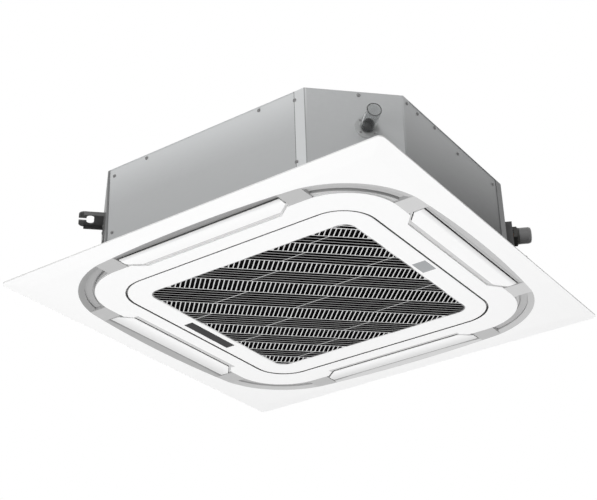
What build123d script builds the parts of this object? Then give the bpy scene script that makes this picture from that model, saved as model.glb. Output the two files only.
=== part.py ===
from build123d import *
import os
from math import atan2, ceil, cos, degrees, hypot, pi, radians, sin, sqrt

# A four-way ceiling cassette unit: a steel body above the ceiling and a square panel below it.
# Millimetres. +Z is up. The origin is on the fan axis, at the underside of the hanger plates.
# Sides are named front (-Y), right (+X), back (+Y) and left (-X), as seen from above.

# ---- heights, measured from the hanger plates ----
FACE_Z = -145.0          # the panel's visible underside
BODY_BOTTOM = -130.0     # where the steel body ends, at the ceiling
BODY_HEIGHT = 205.0
BODY_TOP = BODY_BOTTOM + BODY_HEIGHT

# ---- steel casing ----
SHEET = 1.2
WRAP = 24.0              # how far a corner sheet laps over the side sheets
SHORT_WRAP = 5.0         # the same on the left and back corners
TURNED_EDGE = 12.0       # inward flange at the bottom, and lip under the top sheet
DRAIN_CUT = (141.0, 141.0)   # how much each corner is cut off, along X and along Y
PIPE_CUT = (141.0, 275.0)
BACK_CUT = (190.0, 190.0)
LEFT_CUT = (190.0, 190.0)
DISH_RADIUS = 150.0      # the pressed dish in the top sheet that carries the motor
DISH_DEPTH = 6.0
SEAM_GAP = 1.0           # between a side sheet's end and the casing's corner

# ---- insulation and drain pan ----
LINER = 11.0
LINER_ROOF = 10.0
PAN_HEIGHT = 44.8
CHANNEL_DEPTH = 22.0
CHANNEL_WALL = 7.0       # clearance either side of the coil in its channel
PAN_WALL = 20.0          # foam between the channel and each outlet duct
DUCT_STEP = 9.0          # how far a duct's inner wall lies inside its louvre's edge
DUCT_CLEARANCE = 0.4     # between the insulation and the louvre's outer edge

# ---- coil ----
COIL_DEPTH = 38.0
COIL_CORNER = 90.0
COIL_GAP = 130.0         # how far its two ends stop short of the pipe corner
GAS_TURN = 104.0         # from the coil's end plate to the gas pipe's first bend
GAS_LINE_UP = -38.0      # where the gas pipe lines up with its outlet
END_PLATE = 1.5
BEND_TUBE = 3.5          # radius of the hairpin tube
BEND_RADIUS = 9.5
BENDS = 6                # hairpin bends on each end plate
BEND_PITCH = 27.0

# ---- fan and motor ----
FAN_RADIUS = 228.0
FAN_EYE = 186.0
FAN_TOP = 43.0
FAN_PLATE = 3.0
SHROUD_TOP = -42.0
SHROUD_EYE = -78.0
SHROUD_WALL = 2.5
BLADES = 7
BLADE_WALL = 4.0
BLADE_INNER = 130.0
BLADE_SWEEP = 38.0       # degrees from root to tip
BLADE_BOW = 15.0
CUP_MOUTH = 92.0
CUP_FLOOR = 62.0
CUP_DEPTH = 43.0
HUB_RADIUS = 15.0
HUB_DROP = 14.0
SHAFT_RADIUS = 5.0
SHAFT_CLEARANCE = 0.05
SHAFT_BOTTOM = -38.0
MOTOR_RADIUS = 50.0
MOTOR_BOTTOM = 12.0
MOTOR_TOP = 56.0
MOTOR_EAR_RADIUS = 78.0
MOTOR_EAR = 4.0
GROMMET_RADIUS = 10.0
NUT_ACROSS = 17.0
NUT_HEIGHT = 8.0

# ---- air inlet under the fan ----
BELL_THROAT = 182.0      # outer radius of its throat, inside the fan's eye
BELL_MOUTH = 206.0
BELL_WALL = 2.0
BELL_INSET = 41.0        # from the grille's seam to the edge of the bell mouth's plate
BELL_OVERLAP = 8.0       # how far the throat reaches into the fan's eye
PAN_HOLE = 211.0
CONTROL_BOX = (80.0, 130.0, 38.0)    # across, along and tall, set across the pipe corner's diagonal
BOX_CLEARANCE = 2.0
BOARD_PARTS = (                      # place across and along, size across and along, height
    (-18.0, -38.0, 22.0, 26.0, 18.0),
    (14.0, -40.0, 14.0, 14.0, 20.0),
    (10.0, 0.0, 30.0, 12.0, 12.0),
    (-20.0, 6.0, 12.0, 30.0, 14.0),
    (8.0, 40.0, 34.0, 16.0, 15.0),
)
BOARD_BORDER = 5.0
BOARD_WALL = 1.6
BOARD_POST = 8.0

# ---- drain fittings, on the drain corner ----
DRAIN_SHIFT = 22.0       # the outlet's distance from the middle of that corner's sheet
DRAIN_Z = -8.0
STUB_RADIUS = 13.0
STUB_BORE = 10.5
STUB_LENGTH = 66.0
FLANGE_RADIUS = 24.5
FLANGE_WALL = 3.0
HOSE_RADIUS = 8.0
HOSE_BORE = 6.0
HOSE_BEND = 20.0
PUMP_SHIFT = -40.0
PUMP_RADIUS = 20.0
PUMP_BACK = 48.0         # how far the pump stands inside the corner sheet
BRACKET_HALF = 78.0
BRACKET_BACK = 14.0
BRACKET_RISE = 30.0
FLOAT_SHIFT = 60.0
FLOAT_STEM = 3.0
FLOAT_TRAVEL = 8.0

# ---- refrigerant fittings, on the pipe corner ----
GAS_ALONG = 90.0         # from the corner sheet's right-hand edge
GAS_Z = -11.0
GAS_RADIUS = 8.0
GAS_NUT = 44.0           # across flats
CAP_RADIUS = 18.6
CAP_LENGTH = 27.0
LIQUID_ALONG = 118.0
LIQUID_Z = -66.0
LIQUID_RADIUS = 4.8
LIQUID_NUT = 22.0
LIQUID_CAP_RADIUS = 9.5
LIQUID_CAP_LENGTH = 16.0
COVER_ALONG = (58.0, 150.0)
COVER_OUT = 18.0
COVER_TOP = 11.0
NUT_FOOT = COVER_OUT + 2    # where the flare nuts start
NUT_LONG = 13.0

# ---- hangers ----
HANGER_LENGTH = 56.0
HANGER_WIDTH = 62.0
HANGER_PLATE = 3.0
SLOT_WIDTH = 12.0
SLOT_CROSS = (16.0, 36.0)    # the wider opening behind the slot, outward and across
SLOT_EDGE = 17.0         # from the plate's end to the wider opening
HANGER_CORNER = 12.0
HANGER_FOOT = 112.0
LEFT_HANGER_ALONG = 184.0    # places along each corner sheet, from its end on the left or right side
BACK_HANGER_ALONG = 134.35
PIPE_HANGER_ALONG = 242.0
HANGER_RIM = 6.0

# ---- panel ----
PANEL_BORDER = 45.0      # the border outside the ring's bows
PANEL_CORNER = 13.0
PANEL_WALL = 2.5
PANEL_RISE = 2.0         # how much the border rises towards its edge
RING_MARGIN = 25.0       # from a louvre's outer edge to the middle of the ring's bow
RING_BOW = (180.0, 13.0)     # where the bow meets the corner arc: in from the ends, and its rise
RING_CUT = 71.0          # how far the corner arc's middle lies inside the bow
RING_TOP = -133.0
RING_RECESS = 4.0
RING_BEVEL = 14.0
CORNER_RECESS = 8.0
GROOVE_RADIUS = 190.0    # the groove in each recessed corner
GROOVE_WIDTH = 4.0
GROOVE_GAP = 1.0         # from the centre frame, on the diagonal
GROOVE_ROOF = 1.2
BRIDGE_GAP = 3.0         # from a louvre's end to the bridge beside it
BRIDGE_LONG = 52.0
GASKET = 10.0

FRAME_STRIP = 38.5       # from the grille's seam to the centre frame's edge beside a louvre
FRAME_STEP = 22.5        # how much further out its edge beside a corner lies
FRAME_NOTCH_STEP = 5.0   # how much shorter its notch is than the louvre
FRAME_CORNER = 130.0
FRAME_WALL = 3.0
FRAME_RIM = 51.0         # from the intake opening to the seam
SEAM_CORNER = 82.0
SEAM = 3.0

# ---- louvres ----
LOUVRE_INSET = 11.5      # from the centre frame to the louvre
LOUVRE_WIDTH = 44.0
LOUVRE_SLOPE = 23.0      # how far its slanted ends reach across its width
LOUVRE_LONG = 203.0      # half length at the outer edge
LOUVRE_SHORT = 175.0     # half length at the inner edge
LOUVRE_WALL = 2.5
LOUVRE_CROWN = 1.2
LOUVRE_GAP = 1.0
LOUVRE_OUTER_GAP = 2.0
PIVOT_INSET = 11.0       # from the louvre's outer edge to its axis
PIVOT_Z = -139.0
PIVOT_RADIUS = 2.5
BUSH_RADIUS = 4.0
BUSH_LENGTH = 5.5
MOTOR_CASE = 10.0        # radius of a louvre motor
MOTOR_OFFSET = 8.0       # its output shaft is off its centre
MOTOR_LENGTH = 13.0

# ---- intake grille ----
INTAKE_CENTRE = 2.5
INTAKE_SIZE = (520.0, 506.0)
INTAKE_CORNER = 28.0
RAIL_INSET = 12.0        # the stiffening rails along the left and right of its frame
RAIL_WALL = 2.5
RIM = 3.0
LATTICE_DEPTH = 5.0
LATTICE_SET_BACK = 0.6
BAR = 2.4
EDGE_BAR = 3.0
BAND_WIDTHS = (66.0, 51.5, 52.5, 44.5, 44.0, 38.5, 34.5, 34.5)   # from the middle outward
SLAT_PITCH = 11.0
LADDER_PITCH = 10.1
STIFFENER = 2.0          # width along a band of the thin bars that cross its slats
STIFFENER_PITCH = 182.0
STIFFENER_START = 4.0
STIFFENER_SHIFT = 0.51   # how far they move along the bands, per unit across them
SMALLEST_GAP = 20.0      # mm2; smaller slivers at the rim are filled
SEAT = 6.0
FILTER_BORDER = 10.0
FILTER_TALL = 4.0
MESH_WALL = 1.0
WINDOW = (24.0, 160.0)
WINDOW_GAP = 13.0        # from the intake opening
WINDOW_Y = 0.8
BADGE = (31.6, 47.0)
BADGE_GAP = 6.5
BADGE_Y = 7.5
BADGE_TALL = 1.2
BADGE_RECESS = 0.8

# ---- intake grille hinge and catches ----
HINGE_INSET = 8.0        # from the seam
HINGE_RISE = 0.6         # above the panel's skin
HINGE_X = 150.0
HINGE_PIN = 1.0
HINGE_CLEARANCE = 0.05
EAR_WALL = 1.1
EAR_POCKET = (0.5, 1.2)  # room round the ear in the skin, inward and outward
POCKET_GAP = 0.35
EAR_LONG = 5.0
LUG_LONG = 4.0
LUG_GAP = 0.5
STRAP_LOW = -131.4
STRAP_HIGH = -129.2
STRAP_POST = 4.0
CATCH_INSET = 22.0       # from the seam
CATCH_SIZE = (16.0, 24.0, 7.0)
PLUNGER_RADIUS = 4.0
PLUNGER_GAP = 0.8
PLUNGER_TRAVEL = 3.0

# ---- small fasteners ----
SCREW_ACROSS = 8.0
SCREW_HEAD = 2.5
# each screw's place on its side: from the side's low end, or its high end where negative, and
# below the top edge, or above the bottom edge where negative
FRONT_SCREWS = ((-23.0, 21.0), (-23.0, -42.0), (-110.0, 8.0), (107.0, 8.0), (18.0, 19.0), (18.0, -48.0))
RIGHT_SCREWS = ((13.0, 12.0), (57.0, 12.0), (128.0, 8.0), (224.0, 22.0), (-40.0, 19.0), (-40.0, -48.0))
BACK_SCREWS = ((18.0, 19.0), (18.0, -48.0), (150.0, 8.0), (-169.0, 8.0), (-17.0, 19.0), (-17.0, -48.0))
LEFT_SCREWS = ((18.0, 19.0), (18.0, -48.0), (160.0, 8.0), (-140.0, 8.0), (-18.0, 19.0), (-18.0, -48.0))
DRAIN_SCREW = (9.0, 8.0)     # from the middle of the drain corner's sheet, and below the top edge

# ---- the panel, from the intake opening outward, and the casing round it ----
SEAM_HALF = max(INTAKE_SIZE) / 2 + FRAME_RIM
FRAME_EDGE = SEAM_HALF + FRAME_STRIP
FRAME_SIDE = FRAME_EDGE + FRAME_STEP
FRAME_NOTCH = (LOUVRE_SHORT - FRAME_NOTCH_STEP, LOUVRE_LONG - FRAME_NOTCH_STEP)
LOUVRE_INNER = FRAME_EDGE + LOUVRE_INSET
LOUVRE_OUTER = LOUVRE_INNER + LOUVRE_WIDTH
LOUVRE_SHOULDER = LOUVRE_INNER + LOUVRE_SLOPE
PIVOT_OUT = LOUVRE_OUTER - PIVOT_INSET
BRIDGE = (LOUVRE_LONG + BRIDGE_GAP, LOUVRE_LONG + BRIDGE_GAP + BRIDGE_LONG)
RING_MID = LOUVRE_OUTER + RING_MARGIN     # the ring's outline at the middle of a side
RING_END = (RING_MID - RING_BOW[0], RING_MID - RING_BOW[1])
RING_DIAGONAL = RING_MID - RING_CUT
PANEL_SIDE = 2 * (RING_MID + PANEL_BORDER)
LIP_INSET = 2 * SHEET
LINER_INSET = LIP_INSET + SHEET
INSIDE = LINER_INSET + LINER              # inner face of the insulation
BODY_HALF = LOUVRE_OUTER + DUCT_CLEARANCE + INSIDE
SIDE_OUTER = BODY_HALF - SHEET            # outer face of the side sheets, under the corner laps
DUCT_INNER = LOUVRE_INNER - DUCT_STEP
COIL_OUTER = DUCT_INNER - PAN_WALL - CHANNEL_WALL    # half of the coil's outside width
COIL_END = COIL_OUTER - COIL_GAP
CONTROL_RADIUS = COIL_END * sqrt(2)       # the control box stands between the coil's ends
BELL_PLATE = 2 * (SEAM_HALF - BELL_INSET)
WINDOW_CENTRE = (INTAKE_CENTRE - INTAKE_SIZE[0] / 2 - WINDOW_GAP - WINDOW[0] / 2, WINDOW_Y)
BADGE_CENTRE = (INTAKE_CENTRE + INTAKE_SIZE[0] / 2 + BADGE_GAP + BADGE[0] / 2, BADGE_Y)
HINGE_Y = SEAM_HALF - HINGE_INSET
CATCH_Y = CATCH_INSET - SEAM_HALF
LATTICE_REACH = (sum(INTAKE_SIZE) / 2 + abs(INTAKE_CENTRE)) / sqrt(2)

# ---- heights ----
PAN_LOW = BODY_BOTTOM + SHEET
PAN_TOP = PAN_LOW + PAN_HEIGHT
CHANNEL_FLOOR = PAN_TOP - CHANNEL_DEPTH
BRACKET_TOP = PAN_TOP + 2
HOUSING_TOP = BRACKET_TOP + 34
NOZZLE_Z = BRACKET_TOP + 18
ROOF_LOW = BODY_TOP - SHEET - LINER_ROOF
DISH_LOW = BODY_TOP - DISH_DEPTH - SHEET
PLATE_TOP = FACE_Z + FRAME_WALL           # upper side of the panel's skins
LATTICE_LOW = FACE_Z + LATTICE_SET_BACK
LATTICE_TOP = LATTICE_LOW + LATTICE_DEPTH
HINGE_Z = PLATE_TOP + HINGE_RISE
SIDES = {"front": 0, "right": 90, "back": 180, "left": 270}
MOTOR_ENDS = {"front": 1, "right": -1, "back": 1, "left": 1}    # which end of its louvre
MOTOR_START = BRIDGE[0] + BUSH_LENGTH + 0.3


def slab(sketch, low, high):
    """A flat sketch raised between two heights."""
    return extrude(Pos(0, 0, low) * sketch, amount=high - low)


def box(x_range, y_range, z_range):
    """A block between three pairs of values."""
    size = [high - low for low, high in (x_range, y_range, z_range)]
    middle = [(high + low) / 2 for low, high in (x_range, y_range, z_range)]
    return Pos(*middle) * Box(*size)


def region(x_range, y_range):
    """A flat rectangle between two pairs of values."""
    middle = ((x_range[0] + x_range[1]) / 2, (y_range[0] + y_range[1]) / 2)
    return Pos(*middle) * Rectangle(x_range[1] - x_range[0], y_range[1] - y_range[0])


def turned(x_low, radius, length, y=0.0, z=0.0):
    """A cylinder along X, starting at x_low."""
    return Pos(x_low + length / 2, y, z) * Rot(0, 90, 0) * Cylinder(radius, length)


# ---------------------------------------------------------------- casing

def casing_outline():
    """The casing seen from above: a square with four cut corners."""
    half = BODY_HALF
    points = [
        (-half + LEFT_CUT[0], -half),
        (half - DRAIN_CUT[0], -half),
        (half, -half + DRAIN_CUT[1]),
        (half, half - PIPE_CUT[1]),
        (half - PIPE_CUT[0], half),
        (-half + BACK_CUT[0], half),
        (-half, half - BACK_CUT[1]),
        (-half, -half + LEFT_CUT[1]),
    ]
    return make_face(Polyline(*points, close=True))


CASING = casing_outline()


def casing(inset):
    """The casing's outline moved inward."""
    if inset == 0:
        return CASING
    return offset(CASING, -inset, kind=Kind.INTERSECTION)


def corner_frame(signs, cut):
    """Origin, outward direction and along direction of a cut corner's sheet, in plan."""
    sx, sy = signs
    on_x_side = (sx * BODY_HALF, sy * (BODY_HALF - cut[1]))
    on_y_side = (sx * (BODY_HALF - cut[0]), sy * BODY_HALF)
    along = Vector(on_y_side[0] - on_x_side[0], on_y_side[1] - on_x_side[1])
    length = along.length
    along = along / length
    outward = Vector(sx * abs(along.Y), sy * abs(along.X))
    return Vector(*on_x_side), outward, along, length


def corner_place(signs, cut, along_by, z, out=0.0):
    """A location on a corner's sheet: X points out of it, Y along it, Z up."""
    origin, outward, along, _ = corner_frame(signs, cut)
    spot = origin + along * along_by + outward * out
    turn = degrees(atan2(outward.Y, outward.X))
    return Pos(spot.X, spot.Y, z) * Rot(0, 0, turn)


DRAIN_SIGNS, PIPE_SIGNS, BACK_SIGNS, LEFT_SIGNS = (1, -1), (1, 1), (-1, 1), (-1, -1)


def on_drain(shift, z, out=0.0):
    """A place on the drain corner's sheet, from its middle, X outward."""
    length = corner_frame(DRAIN_SIGNS, DRAIN_CUT)[3]
    return corner_place(DRAIN_SIGNS, DRAIN_CUT, length / 2 - shift, z, out)


def on_pipe(along_by, z, out=0.0):
    """A place on the pipe corner's sheet, from its edge with the right side."""
    return corner_place(PIPE_SIGNS, PIPE_CUT, along_by, z, out)


def corner_plate(signs, cut, wrap):
    """A corner sheet, with a lap on each neighbouring side."""
    x_range = sorted((signs[0] * (BODY_HALF - cut[0] - wrap), signs[0] * (BODY_HALF + 1)))
    y_range = sorted((signs[1] * (BODY_HALF - cut[1] - wrap), signs[1] * (BODY_HALF + 1)))
    wall = (casing(0) - casing(SHEET)) & region(x_range, y_range)
    return slab(wall, BODY_BOTTOM, BODY_TOP - SHEET)


def drain_corner_plate():
    hole = on_drain(DRAIN_SHIFT, DRAIN_Z) * Rot(0, 90, 0) * Cylinder(STUB_RADIUS + 1, 20)
    return corner_plate(DRAIN_SIGNS, DRAIN_CUT, WRAP) - hole


def pipe_corner_plate():
    gas = on_pipe(GAS_ALONG, GAS_Z) * Rot(0, 90, 0) * Cylinder(GAS_RADIUS + 3, 20)
    liquid = on_pipe(LIQUID_ALONG, LIQUID_Z) * Rot(0, 90, 0) * Cylinder(LIQUID_RADIUS + 3, 20)
    return corner_plate(PIPE_SIGNS, PIPE_CUT, WRAP) - gas - liquid


def side_range(side):
    """Where a side's straight run starts and ends, along X or Y."""
    return {
        "front": (-BODY_HALF + LEFT_CUT[0], BODY_HALF - DRAIN_CUT[0]),
        "right": (-BODY_HALF + DRAIN_CUT[1], BODY_HALF - PIPE_CUT[1]),
        "back": (-BODY_HALF + BACK_CUT[0], BODY_HALF - PIPE_CUT[0]),
        "left": (-BODY_HALF + LEFT_CUT[1], BODY_HALF - BACK_CUT[1]),
    }[side]


def side_plate(side):
    """A side sheet with its bottom edge turned inward."""
    low, high = side_range(side)
    run = (low + SEAM_GAP, high - SEAM_GAP)
    across = sorted((-BODY_HALF, -BODY_HALF + INSIDE + TURNED_EDGE))
    if side in ("right", "back"):
        across = [-value for value in reversed(across)]
    area = region(run, across) if side in ("front", "back") else region(across, run)
    wall = (casing(SHEET) - casing(LIP_INSET)) & area
    edge = (casing(SHEET) - casing(SHEET + TURNED_EDGE)) & area
    return slab(wall, BODY_BOTTOM, BODY_TOP - SHEET) + slab(edge, BODY_BOTTOM, PAN_LOW)


def top_plate():
    """The top sheet: a lip below its rim and a dish that carries the motor."""
    plate = slab(casing(0), BODY_TOP - SHEET, BODY_TOP)
    lip = slab(casing(LIP_INSET) - casing(LINER_INSET), BODY_TOP - SHEET - TURNED_EDGE, BODY_TOP - SHEET)
    slope = DISH_DEPTH * 1.5
    outside = Pos(0, 0, (BODY_TOP + DISH_LOW) / 2) * Cone(
        DISH_RADIUS - slope, DISH_RADIUS + SHEET, BODY_TOP - DISH_LOW)
    inside_low = DISH_LOW + SHEET
    inside = Pos(0, 0, (BODY_TOP + inside_low) / 2) * Cone(
        DISH_RADIUS - slope - SHEET, DISH_RADIUS, BODY_TOP - inside_low)
    return (plate + outside) - inside + lip


def foam_liner():
    """Foam insulation inside the casing, open below and over the motor."""
    outside = slab(casing(LINER_INSET), PAN_LOW, BODY_TOP - SHEET)
    inside = slab(casing(INSIDE), PAN_LOW, ROOF_LOW)
    motor_well = Pos(0, 0, BODY_TOP - LINER_ROOF) * Cylinder(DISH_RADIUS + 12, 3 * LINER_ROOF)
    drain = on_drain(DRAIN_SHIFT, DRAIN_Z) * Rot(0, 90, 0) * Cylinder(STUB_RADIUS + 2, 60)
    gas = on_pipe(GAS_ALONG, GAS_Z) * Rot(0, 90, 0) * Cylinder(GAS_RADIUS + 4, 60)
    liquid = on_pipe(LIQUID_ALONG, LIQUID_Z) * Rot(0, 90, 0) * Cylinder(LIQUID_RADIUS + 4, 60)
    liner = outside - inside - motor_well - drain - gas - liquid
    for turn in SIDES.values():
        liner -= Rot(0, 0, turn) * slab(louvre_outline(LOUVRE_GAP, 0), PAN_LOW, PAN_TOP)
    return liner


def hanger(place):
    """A hanger: a level plate with a keyhole slot and a foot riveted to the corner sheet."""
    plate = Pos(HANGER_LENGTH / 2, 0) * RectangleRounded(HANGER_LENGTH, HANGER_WIDTH, HANGER_CORNER)
    root = region((0, HANGER_LENGTH / 2), (-HANGER_WIDTH / 2, HANGER_WIDTH / 2))
    cross_x = HANGER_LENGTH - SLOT_EDGE - SLOT_CROSS[0] / 2
    cross = Pos(cross_x, 0) * RectangleRounded(SLOT_CROSS[0], SLOT_CROSS[1], 7)
    entry = region((cross_x, HANGER_LENGTH + 1), (-SLOT_WIDTH / 2, SLOT_WIDTH / 2))
    level = slab(plate + root - cross - entry, 0, HANGER_PLATE)
    foot = box((0, HANGER_PLATE), (-HANGER_WIDTH / 2, HANGER_WIDTH / 2), (-HANGER_FOOT, 0))
    rivet = Rot(0, 90, 0) * Cone(4, 2.5, 2, align=(Align.CENTER, Align.CENTER, Align.MIN))
    rivets = [
        Pos(HANGER_PLATE, y, -HANGER_FOOT * down) * rivet
        for y in (-HANGER_WIDTH / 4, HANGER_WIDTH / 4) for down in (0.2, 0.55, 0.9)
    ]
    lips = [
        box((0, HANGER_LENGTH * 0.8), sorted((side * HANGER_WIDTH / 2, side * (HANGER_WIDTH / 2 - 2))),
            (-HANGER_RIM, 0))
        for side in (-1, 1)
    ]
    solid = level + foot
    for piece in rivets + lips:
        solid = solid + piece
    return place * solid


HANGERS = {
    "hanger_left": corner_place(LEFT_SIGNS, LEFT_CUT, LEFT_HANGER_ALONG, 0),
    "hanger_back": corner_place(BACK_SIGNS, BACK_CUT, BACK_HANGER_ALONG, 0),
    "hanger_pipe": on_pipe(PIPE_HANGER_ALONG, 0),
}


def screw(place):
    """A hexagon-headed sheet screw on a face that looks along the place's X."""
    head = extrude(RegularPolygon(SCREW_ACROSS / 2, 6, major_radius=False), amount=SCREW_HEAD)
    return place * Rot(0, 90, 0) * head


def face_height(side, along_by):
    """How far out a side's surface lies there: the corner sheets lap over the side sheets."""
    low, high = side_range(side)
    low_wrap = WRAP if side == "right" else SHORT_WRAP
    high_wrap = SHORT_WRAP if side == "left" else WRAP
    lapped = along_by < low + low_wrap or along_by > high - high_wrap
    return BODY_HALF if lapped else SIDE_OUTER


def casing_screws():
    """All screws that show on the casing's sides and on the drain flange."""
    screws = []
    for side, places in (("front", FRONT_SCREWS), ("right", RIGHT_SCREWS),
                         ("back", BACK_SCREWS), ("left", LEFT_SCREWS)):
        low, high = side_range(side)
        for from_end, down in places:
            along_by = from_end + (low if from_end > 0 else high)
            z = (BODY_TOP if down > 0 else BODY_BOTTOM) - down
            out = face_height(side, along_by)
            spot, turn = {
                "front": ((along_by, -out), -90),
                "right": ((out, along_by), 0),
                "back": ((along_by, out), 90),
                "left": ((-out, along_by), 180),
            }[side]
            screws.append(screw(Pos(*spot, z) * Rot(0, 0, turn)))
    screws.append(screw(on_drain(DRAIN_SCREW[0], BODY_TOP - DRAIN_SCREW[1])))
    for angle in (45, 135, 225, 315):
        reach = (FLANGE_RADIUS + STUB_RADIUS) / 2 + 1
        place = on_drain(DRAIN_SHIFT, DRAIN_Z) * Rot(angle, 0, 0) * Pos(FLANGE_WALL, 0, reach)
        head = extrude(RegularPolygon(2.5, 6), amount=1.5)
        screws.append(place * Rot(0, 90, 0) * head)
    return Compound(children=screws)


# ---------------------------------------------------------------- drain

def sump():
    """The deep part of the pan below the pump and the float, seen from above."""
    spots = [(on_drain(PUMP_SHIFT, 0, -PUMP_BACK).position, PUMP_RADIUS + 6),
             (on_drain(FLOAT_SHIFT, 0, -PUMP_BACK).position, 13)]
    shape = on_drain(0, 0, -PUMP_BACK) * region((-13, 13), (PUMP_SHIFT, FLOAT_SHIFT))
    for spot, radius in spots:
        shape += Pos(spot.X, spot.Y) * Circle(radius)
    return shape


def drain_pan():
    """The foam pan: a channel for the coil, four outlet ducts and the inlet hole."""
    body = slab(casing(INSIDE), PAN_LOW, PAN_TOP)
    outer = COIL_OUTER + CHANNEL_WALL
    inner = COIL_OUTER - COIL_DEPTH - CHANNEL_WALL
    ring = RectangleRounded(2 * outer, 2 * outer, COIL_CORNER + CHANNEL_WALL) - RectangleRounded(
        2 * inner, 2 * inner, COIL_CORNER - COIL_DEPTH - CHANNEL_WALL)
    body -= slab(ring & casing(INSIDE + LINER), CHANNEL_FLOOR, PAN_TOP)
    body -= slab(sump(), CHANNEL_FLOOR, PAN_TOP)
    duct = region((-LOUVRE_LONG, LOUVRE_LONG), (-BODY_HALF, -DUCT_INNER))
    for side, turn in SIDES.items():
        body -= Rot(0, 0, turn) * slab(duct, PAN_LOW, PAN_TOP)
        end = MOTOR_ENDS[side]
        run = sorted((end * (MOTOR_START - 4), end * (MOTOR_START + MOTOR_LENGTH + 4)))
        pocket = region(run, (-PIVOT_OUT - MOTOR_CASE - 2, -PIVOT_OUT + MOTOR_CASE + 2))
        body -= Rot(0, 0, turn) * slab(pocket, PAN_LOW, PAN_LOW + MOTOR_CASE)
    body -= slab(Circle(PAN_HOLE), PAN_LOW, PAN_TOP)
    size = [value + 2 * BOX_CLEARANCE for value in CONTROL_BOX[:2]]
    bay = slab(Rectangle(*size), PAN_LOW, PAN_LOW + CONTROL_BOX[2] + BOX_CLEARANCE)
    return body - control_place() * bay


def control_place():
    """The control box's place: across the pipe corner's diagonal, X outward."""
    return Rot(0, 0, 45) * Pos(CONTROL_RADIUS, 0, 0)


def drain_pump():
    """The condensate pump: motor, housing, inlet and side outlet."""
    housing = slab(Circle(PUMP_RADIUS), BRACKET_TOP, HOUSING_TOP)
    motor = slab(Circle(PUMP_RADIUS - 2), HOUSING_TOP, HOUSING_TOP + 40)
    cap = slab(Circle(PUMP_RADIUS - 6), HOUSING_TOP + 40, HOUSING_TOP + 44)
    inlet = slab(Circle(PUMP_RADIUS - 8), CHANNEL_FLOOR + 2, BRACKET_TOP)
    reach = DRAIN_SHIFT - PUMP_SHIFT - HOSE_BEND
    nozzle = Pos(0, reach / 2, NOZZLE_Z) * Rot(90, 0, 0) * Cylinder(HOSE_BORE, reach)
    return on_drain(PUMP_SHIFT, 0, -PUMP_BACK) * (housing + motor + cap + inlet + nozzle)


def drain_hose():
    """The hose from the pump's outlet up and out to the drain flange."""
    start = PUMP_SHIFT + PUMP_RADIUS + 1
    stops = ((start, NOZZLE_Z, -PUMP_BACK), (DRAIN_SHIFT, NOZZLE_Z, -PUMP_BACK),
             (DRAIN_SHIFT, DRAIN_Z, -PUMP_BACK), (DRAIN_SHIFT, DRAIN_Z, -SHEET - 2))
    path = FilletPolyline(*[on_drain(*stop).position for stop in stops], radius=HOSE_BEND)
    wall = RegularPolygon(HOSE_RADIUS, 12) - RegularPolygon(HOSE_BORE + 0.05, 12, major_radius=False)
    return sweep(Plane(origin=path @ 0, z_dir=path % 0) * wall, path=path)


def pump_bracket():
    """A plate across the drain corner that carries the pump and the float's stem."""
    depth = PUMP_BACK - INSIDE
    plate = region((-BRACKET_BACK, depth), (-BRACKET_HALF, BRACKET_HALF))
    plate -= Pos(0, PUMP_SHIFT) * Circle(PUMP_RADIUS - 7.5)
    solid = slab(plate, PAN_TOP, BRACKET_TOP)
    solid += slab(region((depth - 2, depth), (-BRACKET_HALF, BRACKET_HALF)), PAN_TOP, PAN_TOP + BRACKET_RISE)
    solid += Pos(0, FLOAT_SHIFT) * slab(Circle(FLOAT_STEM), CHANNEL_FLOOR + 2, PAN_TOP)
    solid += Pos(0, FLOAT_SHIFT) * slab(Circle(FLOAT_STEM + 2), CHANNEL_FLOOR + 2, CHANNEL_FLOOR + 4)
    return on_drain(0, 0, -PUMP_BACK) * solid


def float_ring():
    """The float that rises on the stem when the pan fills."""
    low = CHANNEL_FLOOR + 4.3
    ring = slab(Circle(8) - Circle(FLOAT_STEM + 0.3), low, PAN_TOP - 1 - FLOAT_TRAVEL)
    return on_drain(FLOAT_SHIFT, 0, -PUMP_BACK) * ring


def drain_flange():
    """The round flange on the drain corner's sheet."""
    disc = slab(Circle(FLANGE_RADIUS), 0, FLANGE_WALL)
    spigot = slab(Circle(STUB_RADIUS + 0.5), -SHEET, 0)
    bore = Cylinder(STUB_BORE, 40)
    return on_drain(DRAIN_SHIFT, DRAIN_Z) * Rot(0, 90, 0) * (disc + spigot - bore)


def drain_stub():
    """The clear outlet pipe, open at its end."""
    tube = slab(Circle(STUB_RADIUS) - Circle(STUB_BORE), FLANGE_WALL, FLANGE_WALL + STUB_LENGTH)
    return on_drain(DRAIN_SHIFT, DRAIN_Z) * Rot(0, 90, 0) * tube


# ---------------------------------------------------------------- coil and pipes

def heat_exchanger():
    """The finned coil, a square ring that is open at the pipe corner."""
    side = 2 * COIL_OUTER
    hole = side - 2 * COIL_DEPTH
    ring = RectangleRounded(side, side, COIL_CORNER) - RectangleRounded(hole, hole, COIL_CORNER - COIL_DEPTH)
    opening = region((COIL_END, COIL_OUTER + 1), (COIL_END, COIL_OUTER + 1))
    return slab(ring - opening, CHANNEL_FLOOR, ROOF_LOW)


def coil_end_places():
    """The two end plates' places: X away from the coil, Y across it."""
    middle = COIL_OUTER - COIL_DEPTH / 2
    return Pos(COIL_END, middle, 0), Pos(middle, COIL_END, 0) * Rot(0, 0, 90)


def coil_end_plates():
    plate = box((0, END_PLATE), (-COIL_DEPTH / 2, COIL_DEPTH / 2), (CHANNEL_FLOOR, ROOF_LOW))
    return Compound(children=[place * plate for place in coil_end_places()])


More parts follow.
